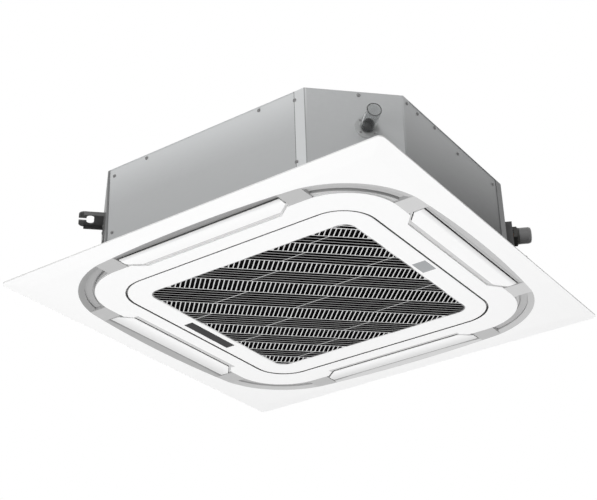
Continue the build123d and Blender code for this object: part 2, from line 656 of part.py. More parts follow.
def return_bends():
    """The hairpin bends on both end plates, clear of the pipe that leaves each."""
    section = Plane.YZ * Pos(-BEND_RADIUS, 0) * RegularPolygon(BEND_TUBE, 8)
    half_turn = revolve(section, axis=Axis.Z, revolution_arc=180)
    bends = []
    for place, pipe_z in zip(coil_end_places(), (GAS_Z, LIQUID_Z)):
        below = int((pipe_z - CHANNEL_FLOOR) / BEND_PITCH)
        for index in range(-below, BENDS - below):
            bends.append(place * Pos(END_PLATE, 0, pipe_z + (index + 0.5) * BEND_PITCH) * half_turn)
    return Compound(children=bends)


def pipe(points, radius, bend):
    """A solid pipe along straight runs with rounded corners."""
    path = FilletPolyline(*points, radius=bend)
    return sweep(Plane(origin=path @ 0, z_dir=path % 0) * RegularPolygon(radius, 16), path=path)


def gas_pipe():
    """The gas pipe, from the back coil end round to its flare nut."""
    start = coil_end_places()[0] * Pos(END_PLATE, 0, GAS_Z)
    turn_in = start * Pos(GAS_TURN, 0, 0)
    line_up = on_pipe(GAS_ALONG, GAS_Z, GAS_LINE_UP)
    outside = on_pipe(GAS_ALONG, GAS_Z, NUT_FOOT)
    return pipe([item.position for item in (start, turn_in, line_up, outside)], GAS_RADIUS, 20)


def liquid_pipe():
    """The liquid pipe, from the right coil end out to its flare nut."""
    start = (coil_end_places()[1] * Pos(END_PLATE, 0, LIQUID_Z)).position
    outside = on_pipe(LIQUID_ALONG, LIQUID_Z, NUT_FOOT).position
    outward = corner_frame(PIPE_SIGNS, PIPE_CUT)[1]
    back = (outside.X - start.X) / outward.X
    return pipe([start, outside - outward * back, outside], LIQUID_RADIUS, 12)


def flare_nut(across, radius, length):
    """A hexagon nut with a round nose, along Z."""
    hexagon = slab(RegularPolygon(across / 2, 6, major_radius=False), 0, length * 0.6)
    nose = Pos(0, 0, length * 0.6) * Cone(across * 0.46, radius * 0.98, length * 0.4,
                                          align=(Align.CENTER, Align.CENTER, Align.MIN))
    return hexagon + nose


def flare_nuts():
    gas = on_pipe(GAS_ALONG, GAS_Z, NUT_FOOT) * Rot(0, 90, 0) * flare_nut(GAS_NUT, CAP_RADIUS, NUT_LONG)
    liquid = on_pipe(LIQUID_ALONG, LIQUID_Z, NUT_FOOT) * Rot(0, 90, 0) * flare_nut(
        LIQUID_NUT, LIQUID_CAP_RADIUS, NUT_LONG)
    return Compound(children=[gas, liquid])


def pipe_caps():
    """The caps that close both pipes until they are connected."""
    caps = []
    for along_by, z, radius, length in ((GAS_ALONG, GAS_Z, CAP_RADIUS, CAP_LENGTH),
                                        (LIQUID_ALONG, LIQUID_Z, LIQUID_CAP_RADIUS, LIQUID_CAP_LENGTH)):
        cap = fan_section([
            (0, 0), (radius, 0), (radius, length - 0.35 * radius), (0.9 * radius, length - 0.1 * radius),
            (0.65 * radius, length), (0, length)])
        caps.append(on_pipe(along_by, z, NUT_FOOT + NUT_LONG) * Rot(0, 90, 0) * cap)
    return Compound(children=caps)


def pipe_cover():
    """The folded cover over the pipe outlets on the pipe corner."""
    low, high = COVER_ALONG
    shell = box((0, COVER_OUT), (low, high), (BODY_BOTTOM, COVER_TOP))
    shell -= box((-1, COVER_OUT - 1.5), (low + 1.5, high - 1.5), (BODY_BOTTOM - 1, COVER_TOP - 1.5))
    gas = Pos(0, GAS_ALONG, GAS_Z) * Rot(0, 90, 0) * Cylinder(GAS_RADIUS + 0.5, 80)
    liquid = Pos(0, LIQUID_ALONG, LIQUID_Z) * Rot(0, 90, 0) * Cylinder(LIQUID_RADIUS + 0.5, 80)
    return on_pipe(0, 0) * (shell - gas - liquid)


# ---------------------------------------------------------------- fan

def fan_motor():
    """The fan motor: a finned can with three ears, hung from the dish."""
    can = Pos(0, 0, MOTOR_BOTTOM) * Cylinder(MOTOR_RADIUS, MOTOR_TOP - MOTOR_BOTTOM,
                                             align=(Align.CENTER, Align.CENTER, Align.MIN))
    boss = slab(Circle(14), MOTOR_BOTTOM - 5, MOTOR_BOTTOM)
    ear_low = MOTOR_TOP - MOTOR_EAR
    solid = can + boss
    for turn in (90, 210, 330):
        ear = region((0, MOTOR_EAR_RADIUS), (-9, 9)) + Pos(MOTOR_EAR_RADIUS, 0) * Circle(12)
        solid += Rot(0, 0, turn) * slab(ear, ear_low, MOTOR_TOP)
    bore = slab(Circle(SHAFT_RADIUS + SHAFT_CLEARANCE), MOTOR_BOTTOM - 6, MOTOR_TOP - 10)
    return solid - bore


def motor_grommets():
    """Rubber blocks between the motor's ears and the dish."""
    block = Pos(MOTOR_EAR_RADIUS, 0) * slab(Circle(GROMMET_RADIUS), MOTOR_TOP, DISH_LOW)
    return Compound(children=[Rot(0, 0, turn) * block for turn in (90, 210, 330)])


def fan_shaft():
    return slab(Circle(SHAFT_RADIUS), SHAFT_BOTTOM, MOTOR_TOP - 12)


def fan_section(points):
    """A closed outline in the XZ plane turned round the fan axis."""
    return revolve(make_face(Plane.XZ * Polyline(*points, close=True)), axis=Axis.Z)


def turbo_fan():
    """The backward-curved fan: hub plate with a cup for the motor, blades and shroud."""
    top = FAN_TOP + FAN_PLATE
    floor = FAN_TOP - CUP_DEPTH
    bore = SHAFT_RADIUS + SHAFT_CLEARANCE
    hub = fan_section([
        (HUB_RADIUS, floor - HUB_DROP), (HUB_RADIUS, floor - FAN_PLATE), (CUP_FLOOR, floor - FAN_PLATE),
        (CUP_MOUTH, FAN_TOP), (FAN_RADIUS, FAN_TOP), (FAN_RADIUS, top), (CUP_MOUTH - 2, top),
        (CUP_FLOOR - 2, floor), (bore, floor), (bore, floor - HUB_DROP)])
    shroud = fan_section([
        (FAN_EYE, SHROUD_EYE), (FAN_EYE + SHROUD_WALL, SHROUD_EYE),
        (FAN_EYE + SHROUD_WALL + 2, SHROUD_EYE + 16), (FAN_EYE + 18, SHROUD_TOP - 9),
        (FAN_RADIUS, SHROUD_TOP - SHROUD_WALL), (FAN_RADIUS, SHROUD_TOP),
        (FAN_EYE + 16, SHROUD_TOP - 6), (FAN_EYE, SHROUD_EYE + 18)])
    span = fan_section([
        (BLADE_INNER - 10, FAN_TOP + 1), (FAN_RADIUS, FAN_TOP + 1), (FAN_RADIUS, SHROUD_TOP - 1),
        (FAN_EYE + 16, SHROUD_TOP - 7), (FAN_EYE + 1, SHROUD_EYE + 17), (FAN_EYE + 1, SHROUD_EYE + 14),
        (BLADE_INNER + 22, SHROUD_EYE + 22), (BLADE_INNER - 10, SHROUD_EYE + 50)])
    blade = blade_section()
    fan = hub + shroud
    for index in range(BLADES):
        wing = Rot(0, 0, index * 360 / BLADES) * slab(blade, SHROUD_EYE, FAN_TOP + 1)
        fan += wing & span
    return fan


def blade_section():
    """One blade seen from above, a bowed strip that leans back from the turning direction."""
    reach = FAN_RADIUS - 3
    root = Vector(BLADE_INNER, 0)
    tip = Vector(reach * cos(radians(BLADE_SWEEP)), reach * sin(radians(BLADE_SWEEP)))
    chord = tip - root
    side = Vector(chord.Y, -chord.X) / chord.length
    return trace(ThreePointArc(root, (root + tip) / 2 + side * BLADE_BOW, tip), line_width=BLADE_WALL)


def fan_nut():
    """The nut and washer that hold the fan on its shaft."""
    seat = FAN_TOP - CUP_DEPTH - HUB_DROP
    bore = Circle(SHAFT_RADIUS + SHAFT_CLEARANCE)
    washer = slab(Circle(NUT_ACROSS * 0.7) - bore, seat - 2, seat)
    nut = slab(RegularPolygon(NUT_ACROSS / 2, 6, major_radius=False) - bore, seat - 2 - NUT_HEIGHT, seat - 2)
    return washer + nut


# ---------------------------------------------------------------- inlet and controls

def bell_mouth():
    """The flared inlet ring and the plate that closes the underside round it."""
    throat_top = SHROUD_EYE + BELL_OVERLAP
    flare = fan_section([
        (BELL_THROAT, throat_top), (BELL_THROAT, throat_top - 22), (BELL_THROAT + 5, throat_top - 38),
        (BELL_MOUTH, PAN_LOW), (BELL_MOUTH - 3, PAN_LOW - BELL_WALL), (BELL_THROAT + 2, throat_top - 40),
        (BELL_THROAT - BELL_WALL, throat_top - 22), (BELL_THROAT - BELL_WALL, throat_top)])
    plate = RectangleRounded(BELL_PLATE, BELL_PLATE, 60) - Circle(BELL_MOUTH - 3)
    across, along, _ = CONTROL_BOX
    notch = region((CONTROL_RADIUS - across / 2 - 6, BELL_PLATE), (-along / 2 - 6, along / 2 + 6))
    plate -= Rot(0, 0, 45) * notch
    return flare + slab(plate, PAN_LOW - BELL_WALL, PAN_LOW)


def control_box():
    """A folded steel tray, open below, in a bay of the pan."""
    across, along, tall = CONTROL_BOX
    outside = slab(Rectangle(across, along), PAN_LOW, PAN_LOW + tall)
    inside = slab(Rectangle(across - 2 * SHEET, along - 2 * SHEET), PAN_LOW, PAN_LOW + tall - SHEET)
    return control_place() * (outside - inside)


def control_cover():
    """The flat cover of the control box."""
    across, along, _ = CONTROL_BOX
    return control_place() * slab(RectangleRounded(across + 8, along + 8, 4), PAN_LOW - 1.5, PAN_LOW)


def control_board():
    """The circuit board on four posts, with its larger components."""
    across, along, tall = CONTROL_BOX
    level = PAN_LOW + tall - SHEET
    high = level - BOARD_POST
    low = high - BOARD_WALL
    board = slab(Rectangle(across - 2 * BOARD_BORDER, along - 2 * BOARD_BORDER), low, high)
    for x in (2 * BOARD_BORDER - across / 2, across / 2 - 2 * BOARD_BORDER):
        for y in (2 * BOARD_BORDER - along / 2, along / 2 - 2 * BOARD_BORDER):
            board += Pos(x, y) * slab(Circle(BOARD_BORDER / 2), high, level)
    for x, y, wide, long, drop in BOARD_PARTS:
        board += Pos(x, y) * slab(Rectangle(wide, long), low - drop, low)
    return control_place() * board


# ---------------------------------------------------------------- panel

def ring_outline(inset):
    """The grey ring's outline: four bowed sides and four corner arcs."""
    mid = RING_MID - inset
    near, far = RING_END[0] - 0.1 * inset, RING_END[1] - inset
    diagonal = RING_DIAGONAL - inset / sqrt(2)
    edges = []
    for turn in SIDES.values():
        bow = ThreePointArc((-near, -far), (0, -mid), (near, -far))
        corner = ThreePointArc((near, -far), (diagonal, -diagonal), (far, -near))
        edges += [Rot(0, 0, turn) * bow, Rot(0, 0, turn) * corner]
    return make_face(edges)


def frame_outline(outset):
    """The centre frame's outline: notched beside each louvre, rounded at the corners."""
    edge, side = FRAME_EDGE + outset, FRAME_SIDE + outset
    narrow, wide = FRAME_NOTCH[0] + outset * 0.5, FRAME_NOTCH[1] + outset * 0.5
    centre = FRAME_SIDE - FRAME_CORNER
    reach = FRAME_CORNER + outset
    diagonal = centre + reach / sqrt(2)
    edges = []
    for turn in SIDES.values():
        run = Polyline((-centre, -side), (-wide, -side), (-narrow, -edge), (narrow, -edge),
                       (wide, -side), (centre, -side))
        corner = ThreePointArc((centre, -side), (diagonal, -diagonal), (side, -centre))
        edges += [Rot(0, 0, turn) * edge_item for edge_item in run.edges()]
        edges.append(Rot(0, 0, turn) * corner)
    return make_face(edges)


def louvre_outline(grow, outer_grow):
    """One louvre seen from above, on the front side, grown by a gap all round."""
    slant = (LOUVRE_SHOULDER - LOUVRE_INNER) / (LOUVRE_LONG - LOUVRE_SHORT)
    inner, outer = LOUVRE_INNER - grow, LOUVRE_OUTER + outer_grow
    long = LOUVRE_LONG + 3 * grow
    short = LOUVRE_SHORT + grow
    shoulder = inner + (long - short) * slant
    points = [(-short, -inner), (short, -inner), (long, -shoulder), (long, -outer), (-long, -outer),
              (-long, -shoulder)]
    return make_face(Polyline(*points, close=True))


def panel_border():
    """The panel's flat white border, a shallow tray with a stiffening rib on its hidden side."""
    def tray(low, shrink):
        flat = Pos(0, 0, low) * Rectangle(2 * RING_MID - shrink, 2 * RING_MID - shrink)
        rim = Pos(0, 0, low + PANEL_RISE) * Rectangle(PANEL_SIDE - shrink, PANEL_SIDE - shrink)
        return loft([flat, rim])
    rim_low = FACE_Z + PANEL_RISE
    outside = tray(FACE_Z, 0) + slab(Rectangle(PANEL_SIDE, PANEL_SIDE), rim_low, rim_low + PANEL_WALL)
    rounded = slab(RectangleRounded(PANEL_SIDE, PANEL_SIDE, PANEL_CORNER), FACE_Z, rim_low + PANEL_WALL)
    border = (outside & rounded) - tray(FACE_Z + PANEL_WALL, 2 * PANEL_WALL)
    rib_side = PANEL_SIDE - 36
    rib = RectangleRounded(rib_side, rib_side, 10) - RectangleRounded(rib_side - 4, rib_side - 4, 8)
    border += slab(rib, rim_low + PANEL_WALL - 1.5, BODY_BOTTOM - 2)
    return border - slab(ring_outline(0), FACE_Z - 1, BODY_BOTTOM)


def corner_recess():
    """The recess and the groove of one corner, between the bridges, seen from above."""
    sector = region((BRIDGE[1], RING_MID), (BRIDGE[1], RING_MID))
    corner_centre = FRAME_SIDE - FRAME_CORNER
    groove_centre = corner_centre + (FRAME_CORNER + GROOVE_GAP - GROOVE_RADIUS) / sqrt(2)
    inside = Pos(groove_centre, groove_centre) * Circle(GROOVE_RADIUS)
    past_groove = Pos(groove_centre, groove_centre) * Circle(GROOVE_RADIUS + GROOVE_WIDTH)
    recess = (ring_outline(RING_BEVEL) & sector) - past_groove
    groove = (past_groove & sector) - inside
    return recess, groove


def outlet_ring():
    """The grey ring round the four outlets, with eight bridges and four recessed corners."""
    level = FACE_Z + RING_RECESS
    band = ring_outline(0) - frame_outline(0)
    ring = slab(band, level, RING_TOP)
    lip = slab(ring_outline(0), FACE_Z, level) - loft(
        [Pos(0, 0, FACE_Z) * ring_outline(1.5), Pos(0, 0, level) * ring_outline(RING_BEVEL)])
    ring += lip
    recess, groove = corner_recess()
    bridges = ring_outline(2.5) - frame_outline(0)
    for turn in SIDES.values():
        ring -= Rot(0, 0, turn) * slab(recess, level, FACE_Z + CORNER_RECESS)
        ring -= Rot(0, 0, turn) * slab(groove, FACE_Z, RING_TOP - GROOVE_ROOF)
    for side, turn in SIDES.items():
        for sign in (-1, 1):
            run = sorted((sign * BRIDGE[0], sign * BRIDGE[1]))
            block = bridges & (Rot(0, 0, turn) * region(run, (-BODY_HALF, -FRAME_EDGE)))
            ring += slab(block, FACE_Z + 0.4, level)
        ring -= Rot(0, 0, turn) * slab(louvre_outline(LOUVRE_GAP, LOUVRE_OUTER_GAP), FACE_Z, RING_TOP)
        ring -= louvre_motor(side, 0.3) + louvre_bush_blanks(side, 1.0)
    return ring


def louvre_motor(side, clearance):
    """The stepper motor of one louvre, or the room for it."""
    long = MOTOR_LENGTH + 2 * clearance
    start = MOTOR_START - clearance
    if MOTOR_ENDS[side] < 0:
        start = -start - long
    place = Rot(0, 0, SIDES[side])
    return place * turned(start, MOTOR_CASE + clearance, long, -PIVOT_OUT, PIVOT_Z + MOTOR_OFFSET)


def louvre_bush_blanks(side, inward):
    """Both bushes of one louvre without their bores, lengthened into the opening."""
    blanks = []
    for start in (BRIDGE[0] - inward, -BRIDGE[0] - BUSH_LENGTH):
        blanks.append(turned(start, BUSH_RADIUS, BUSH_LENGTH + inward, -PIVOT_OUT, PIVOT_Z))
    return Rot(0, 0, SIDES[side]) * (blanks[0] + blanks[1])


def louvre_motors():
    """The four stepper motors, each with its output shaft off its centre."""
    return Compound(children=[louvre_motor(side, 0) for side in SIDES])


def louvre_bushes():
    """A bush at each end of each louvre."""
    reach = BRIDGE[0] + BUSH_LENGTH + 1
    bore = turned(-reach, PIVOT_RADIUS + 0.05, 2 * reach, -PIVOT_OUT, PIVOT_Z)
    bushes = []
    for side, turn in SIDES.items():
        bushes += (louvre_bush_blanks(side, 0) - Rot(0, 0, turn) * bore).solids()
    return Compound(children=bushes)


def louvre(turn):
    """One louvre: a slightly crowned blade with end webs and stub shafts."""
    low, crown = FACE_Z, LOUVRE_CROWN
    middle = (LOUVRE_INNER + LOUVRE_OUTER) / 2
    under = ThreePointArc((-LOUVRE_OUTER, low + crown), (-middle, low), (-LOUVRE_INNER, low + crown))
    over = Polyline((-LOUVRE_INNER, low + crown), (-LOUVRE_INNER, low + crown + 1.5),
                    (-LOUVRE_OUTER, low + crown + 1.5), (-LOUVRE_OUTER, low + crown))
    profile = make_face([Plane.YZ * item for item in [under] + list(over.edges())])
    blade = extrude(profile, amount=LOUVRE_LONG, both=True)
    blade = blade & slab(louvre_outline(0, 0), low - 1, PIVOT_Z)
    web_top = PIVOT_Z + PIVOT_RADIUS
    for start in (-LOUVRE_LONG, LOUVRE_LONG - 3):
        blade += box((start, start + 3), (-PIVOT_OUT - 5, -PIVOT_OUT + 4), (low + crown + 1, web_top))
    for start in (-BRIDGE[0] - BUSH_LENGTH, LOUVRE_LONG - 1):
        reach = BRIDGE[0] + BUSH_LENGTH - LOUVRE_LONG + 1
        blade += turned(start, PIVOT_RADIUS, reach, -PIVOT_OUT, PIVOT_Z)
    return Rot(0, 0, turn) * blade


def strap(y_sign, inner_y, x):
    """A bridge from the centre frame over the seam, carrying a hinge ear or a catch."""
    post = sorted((y_sign * (SEAM_HALF + 2), y_sign * (SEAM_HALF + 2 + STRAP_POST)))
    arm = sorted((y_sign * inner_y, y_sign * (SEAM_HALF + 2 + STRAP_POST)))
    bridge = box((x - 7, x + 7), post, (PLATE_TOP, STRAP_HIGH))
    return bridge + box((x - 7, x + 7), arm, (STRAP_LOW, STRAP_HIGH))


def centre_frame():
    """The white frame between the louvres and the intake grille."""
    skin = frame_outline(0) - RectangleRounded(2 * SEAM_HALF, 2 * SEAM_HALF, SEAM_CORNER)
    frame = slab(skin, FACE_Z, PLATE_TOP)
    wall = frame_outline(0) - frame_outline(-2.5)
    frame += slab(wall, PLATE_TOP, RING_TOP)
    reach = HINGE_PIN + HINGE_CLEARANCE + EAR_WALL
    for x in (-HINGE_X, HINGE_X):
        frame += strap(1, HINGE_Y - reach, x)
        ear_x = (x - EAR_LONG / 2, x + EAR_LONG / 2)
        ear = box(ear_x, (HINGE_Y - reach, HINGE_Y + reach), (HINGE_Z, STRAP_LOW))
        ear += turned(x - EAR_LONG / 2, reach, EAR_LONG, HINGE_Y, HINGE_Z)
        frame += ear
        frame -= turned(x - EAR_LONG, HINGE_PIN + HINGE_CLEARANCE, 2 * EAR_LONG, HINGE_Y, HINGE_Z)
        frame += strap(-1, -CATCH_Y - CATCH_SIZE[1] / 2, x)
    return frame


def panel_gasket():
    """The foam strip between the panel and the casing's bottom flange."""
    edge = (casing(1) & ring_outline(2)).face()
    strip = edge - offset(edge, -GASKET, kind=Kind.INTERSECTION)
    for turn in SIDES.values():
        strip -= Rot(0, 0, turn) * louvre_outline(LOUVRE_GAP, 0)
    return slab(strip, RING_TOP, BODY_BOTTOM)


# ---------------------------------------------------------------- intake grille

def intake_opening(grow):
    """The rounded opening of the intake, grown or shrunk."""
    wide, tall = INTAKE_SIZE
    shape = RectangleRounded(wide + 2 * grow, tall + 2 * grow, INTAKE_CORNER + grow)
    return Pos(INTAKE_CENTRE, 0) * shape


def intake_frame():
    """The swinging frame of the intake grille, with lugs for its hinge pins."""
    half = SEAM_HALF - SEAM
    corner = SEAM_CORNER - SEAM
    skin = slab(RectangleRounded(2 * half, 2 * half, corner), FACE_Z, PLATE_TOP)
    skin = chamfer(skin.faces().sort_by(Axis.Z)[0].edges(), 1.5)
    frame = skin - slab(intake_opening(0), FACE_Z, PLATE_TOP)
    rail = region((half - RAIL_INSET - RAIL_WALL, half - RAIL_INSET), (corner - half, half - corner))
    for turn in (0, 180):
        frame += Rot(0, 0, turn) * slab(rail, PLATE_TOP, LATTICE_TOP)
    frame -= Pos(*WINDOW_CENTRE, 0) * slab(Rectangle(*WINDOW), FACE_Z, PLATE_TOP)
    frame -= Pos(*BADGE_CENTRE, 0) * slab(Rectangle(*BADGE), FACE_Z, FACE_Z + BADGE_RECESS)
    lug = HINGE_PIN + EAR_WALL
    ear = lug + HINGE_CLEARANCE
    pocket_y = (HINGE_Y - ear - EAR_POCKET[0], HINGE_Y + ear + EAR_POCKET[1])
    for x in (-HINGE_X, HINGE_X):
        pocket_x = (x - EAR_LONG / 2 - LUG_GAP, x + EAR_LONG / 2 + LUG_GAP)
        frame -= box(pocket_x, pocket_y, (HINGE_Z - ear - POCKET_GAP, PLATE_TOP))
        for sign in (-1, 1):
            near = EAR_LONG / 2 + LUG_GAP
            run = sorted((x + sign * near, x + sign * (near + LUG_LONG)))
            frame += box(run, (HINGE_Y - lug, HINGE_Y + lug), (PLATE_TOP, HINGE_Z))
            frame += turned(run[0], lug, LUG_LONG, HINGE_Y, HINGE_Z)
            frame -= turned(run[0] - 1, HINGE_PIN + HINGE_CLEARANCE, LUG_LONG + 2, HINGE_Y, HINGE_Z)
    return frame


def hinge_pins():
    """The two pins that the intake grille swings on."""
    length = EAR_LONG + 2 * (LUG_GAP + LUG_LONG)
    pins = [turned(x - length / 2, HINGE_PIN, length, HINGE_Y, HINGE_Z) for x in (-HINGE_X, HINGE_X)]
    return Compound(children=pins)


def band_edges():
    """Distances of the band borders from the middle diagonal."""
    edges = [BAND_WIDTHS[0] / 2]
    while edges[-1] < LATTICE_REACH:
        width = BAND_WIDTHS[min(len(edges), len(BAND_WIDTHS) - 1)]
        edges.append(edges[-1] + width)
    return edges


def lattice_bands():
    """Each diagonal band as (low edge, high edge, whether its slats run along it)."""
    edges = band_edges()
    bands = [(-edges[0], edges[0], True)]
    for index in range(len(edges) - 1):
        along = index % 2 == 1
        bands.append((edges[index], edges[index + 1], along))
        bands.append((-edges[index + 1], -edges[index], along))
    return bands


def slat_gaps(low, high):
    """Long gaps along a band, cut short where a stiffener crosses."""
    count = round((high - low) / SLAT_PITCH)
    pitch = (high - low) / count
    half = INTAKE_SIZE[0]
    gaps = []
    for index in range(count):
        start = low + index * pitch + (EDGE_BAR if index == 0 else BAR) / 2
        stop = low + (index + 1) * pitch - (EDGE_BAR if index == count - 1 else BAR) / 2
        middle = (start + stop) / 2
        band_middle = (low + high) / 2
        shift = STIFFENER_START + STIFFENER_SHIFT * band_middle + middle - band_middle
        reach = ceil((half + abs(shift)) / STIFFENER_PITCH)
        for step in range(-reach, reach + 1):
            left = step * STIFFENER_PITCH + shift + STIFFENER / 2
            right = left + STIFFENER_PITCH - STIFFENER
            lean = (stop - start) / 2
            far = [(left + lean, stop), (right + lean, stop)]
            gaps.append(far + [(right - lean, start), (left - lean, start)])
    return gaps


def ladder_gaps(low, high):
    """Short gaps across a band."""
    count = ceil(INTAKE_SIZE[0] / LADDER_PITCH)
    gap = LADDER_PITCH - BAR
    gaps = []
    for index in range(-count, count):
        left = index * LADDER_PITCH + BAR / 2
        start, stop = low + EDGE_BAR / 2, high - EDGE_BAR / 2
        gaps.append([(left, start), (left + gap, start), (left + gap, stop), (left, stop)])
    return gaps


def from_band(point):
    """Band coordinates, along and across the diagonal, to X and Y."""
    along, across = point
    return ((along + across) / sqrt(2), (along - across) / sqrt(2))


def inside_opening(point, margin):
    """Whether a point lies in the intake opening, shrunk by a margin."""
    half_x = INTAKE_SIZE[0] / 2 - margin
    half_y = INTAKE_SIZE[1] / 2 - margin
    corner = INTAKE_CORNER - margin
    x, y = abs(point[0] - INTAKE_CENTRE), abs(point[1])
    if x > half_x or y > half_y:
        return False
    past_x, past_y = x - (half_x - corner), y - (half_y - corner)
    return past_x < 0 or past_y < 0 or hypot(past_x, past_y) < corner


def lattice_gaps():
    """Every gap of the lattice as a flat face; those at the rim are cut to it."""
    inner = intake_opening(-RIM)
    gaps = []
    for low, high, along in lattice_bands():
        for outline in slat_gaps(low, high) if along else ladder_gaps(low, high):
            points = [from_band(point) for point in outline]
            gap = make_face(Polyline(*points, close=True))
            if all(inside_opening(point, RIM) for point in points):
                gaps.append(gap)
            elif gap.distance_to(Vertex(INTAKE_CENTRE, 0, 0)) < INTAKE_SIZE[0] * 0.71:
                cut = gap & inner
                if cut is not None:
                    gaps += [face for face in cut.faces() if face.area > SMALLEST_GAP]
    return gaps


def grille_lattice():
    """The basket-weave lattice: bands of long slats between bands of short ones."""
    plate = intake_opening(-0.2) - lattice_gaps()
    lattice = slab(plate, LATTICE_LOW, LATTICE_TOP)
    flange = intake_opening(SEAT) - intake_opening(-RIM)
    return lattice + slab(flange, PLATE_TOP, PLATE_TOP + 2)


def filter_frame():
    """The rigid border and cross bars of the dust filter."""
    outer = intake_opening(SEAT - 1)
    bars = outer - intake_opening(SEAT - 1 - FILTER_BORDER)
    inner = intake_opening(SEAT - 2)
    for step in (-1, 0, 1):
        bars += inner & (Pos(INTAKE_CENTRE + step * INTAKE_SIZE[0] / 4, 0) * Rectangle(4, INTAKE_SIZE[1] + 9))
        bars += inner & (Pos(INTAKE_CENTRE, step * INTAKE_SIZE[1] / 4) * Rectangle(INTAKE_SIZE[0] + 9, 4))
    return slab(bars, LATTICE_TOP, LATTICE_TOP + FILTER_TALL - MESH_WALL)


def filter_mesh():
    """The filter's mesh, as one thin sheet on its frame."""
    top = LATTICE_TOP + FILTER_TALL
    return slab(intake_opening(SEAT - 2), top - MESH_WALL, top)


def display_window():
    """The dark window over the display."""
    return Pos(*WINDOW_CENTRE, 0) * slab(Rectangle(*WINDOW), FACE_Z + 0.3, PLATE_TOP)


def receiver_board():
    """The small board behind the display window."""
    wide, tall = WINDOW
    board = slab(Rectangle(wide - 2, tall - 6), PLATE_TOP, PLATE_TOP + 1.6)
    for y in (-50, -25, 0, 25):
        board += Pos(0, y) * slab(Rectangle(8, 10), PLATE_TOP + 1.6, PLATE_TOP + 4)
    return Pos(*WINDOW_CENTRE, 0) * board


def badge_plate():
    """The plain plate opposite the display; it carries nothing."""
    low = FACE_Z + BADGE_RECESS - BADGE_TALL
    return Pos(*BADGE_CENTRE, 0) * slab(Rectangle(*BADGE), low, FACE_Z + BADGE_RECESS)


def catch_bodies():
    """The housings of the two push catches, under the frame's straps."""
    wide, long, tall = CATCH_SIZE
    bodies = []
    low = STRAP_LOW - tall
    bore = slab(Circle(PLUNGER_RADIUS + 0.05), low - 1, STRAP_LOW)
    for x in (-HINGE_X, HINGE_X):
        body = box((x - wide / 2, x + wide / 2), (CATCH_Y - long / 2, CATCH_Y + long / 2), (low, STRAP_LOW))
        bodies.append(body - Pos(x, CATCH_Y) * bore)
    return Compound(children=bodies)


def catch_plunger(x):
    """A push catch's plunger, just clear of the intake frame."""
    low = PLATE_TOP + PLUNGER_GAP
    high = STRAP_LOW - PLUNGER_TRAVEL - 0.4
    return Pos(x, CATCH_Y) * slab(Circle(PLUNGER_RADIUS), low, high)


# ---------------------------------------------------------------- assembly

NODES = {
    "top_plate": top_plate(),
    "corner_plate_drain": drain_corner_plate(),
    "corner_plate_pipe": pipe_corner_plate(),
    "corner_plate_back": corner_plate(BACK_SIGNS, BACK_CUT, SHORT_WRAP),
    "corner_plate_left": corner_plate(LEFT_SIGNS, LEFT_CUT, SHORT_WRAP),
    "foam_liner": foam_liner(),
    "casing_screws": casing_screws(),
    "drain_pan": drain_pan(),
    "drain_pump": drain_pump(),
    "pump_bracket": pump_bracket(),
    "float_ring": float_ring(),
    "drain_hose": drain_hose(),
    "drain_flange": drain_flange(),
    "drain_stub": drain_stub(),
    "heat_exchanger": heat_exchanger(),
    "coil_end_plates": coil_end_plates(),
    "return_bends": return_bends(),
    "gas_pipe": gas_pipe(),
    "liquid_pipe": liquid_pipe(),
    "flare_nuts": flare_nuts(),
    "pipe_caps": pipe_caps(),
    "pipe_cover": pipe_cover(),
    "fan_motor": fan_motor(),
    "motor_grommets": motor_grommets(),
    "fan_shaft": fan_shaft(),
    "turbo_fan": turbo_fan(),
    "fan_nut": fan_nut(),
    "bell_mouth": bell_mouth(),
    "control_box": control_box(),
    "control_cover": control_cover(),
    "control_board": control_board(),
    "panel_border": panel_border(),
    "outlet_ring": outlet_ring(),
    "centre_frame": centre_frame(),
    "panel_gasket": panel_gasket(),
    "louvre_motors": louvre_motors(),
    "louvre_bushes": louvre_bushes(),
    "intake_frame": intake_frame(),
    "hinge_pins": hinge_pins(),
    "grille_lattice": grille_lattice(),
    "filter_frame": filter_frame(),
    "filter_mesh": filter_mesh(),
    "display_window": display_window(),
    "receiver_board": receiver_board(),
    "badge_plate": badge_plate(),
    "catch_bodies": catch_bodies(),
    "catch_plunger_left": catch_plunger(-HINGE_X),
    "catch_plunger_right": catch_plunger(HINGE_X),
}
for side, turn in SIDES.items():
    NODES["side_plate_" + side] = side_plate(side)
    NODES["louvre_" + side] = louvre(turn)
for name, place in HANGERS.items():
    NODES[name] = hanger(place)

os.makedirs("parts", exist_ok=True)
for name, shape in NODES.items():
    export_step(shape, "parts/" + name + ".step")
    print(name, len(shape.solids()), round(shape.volume))
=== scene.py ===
"""Looks, small parts, stage and lamps for a ceiling cassette unit.

All lengths are in metres, in the part's own axes. The unit's front is -Y, its right +X, its back +Y
and its left -X. The drain comes out at the corner between front and right, and the pipes at the
corner between right and back."""

import math

import bmesh
import bpy
from bpy.props import FloatProperty, FloatVectorProperty, PointerProperty
from mathutils import Matrix, Vector


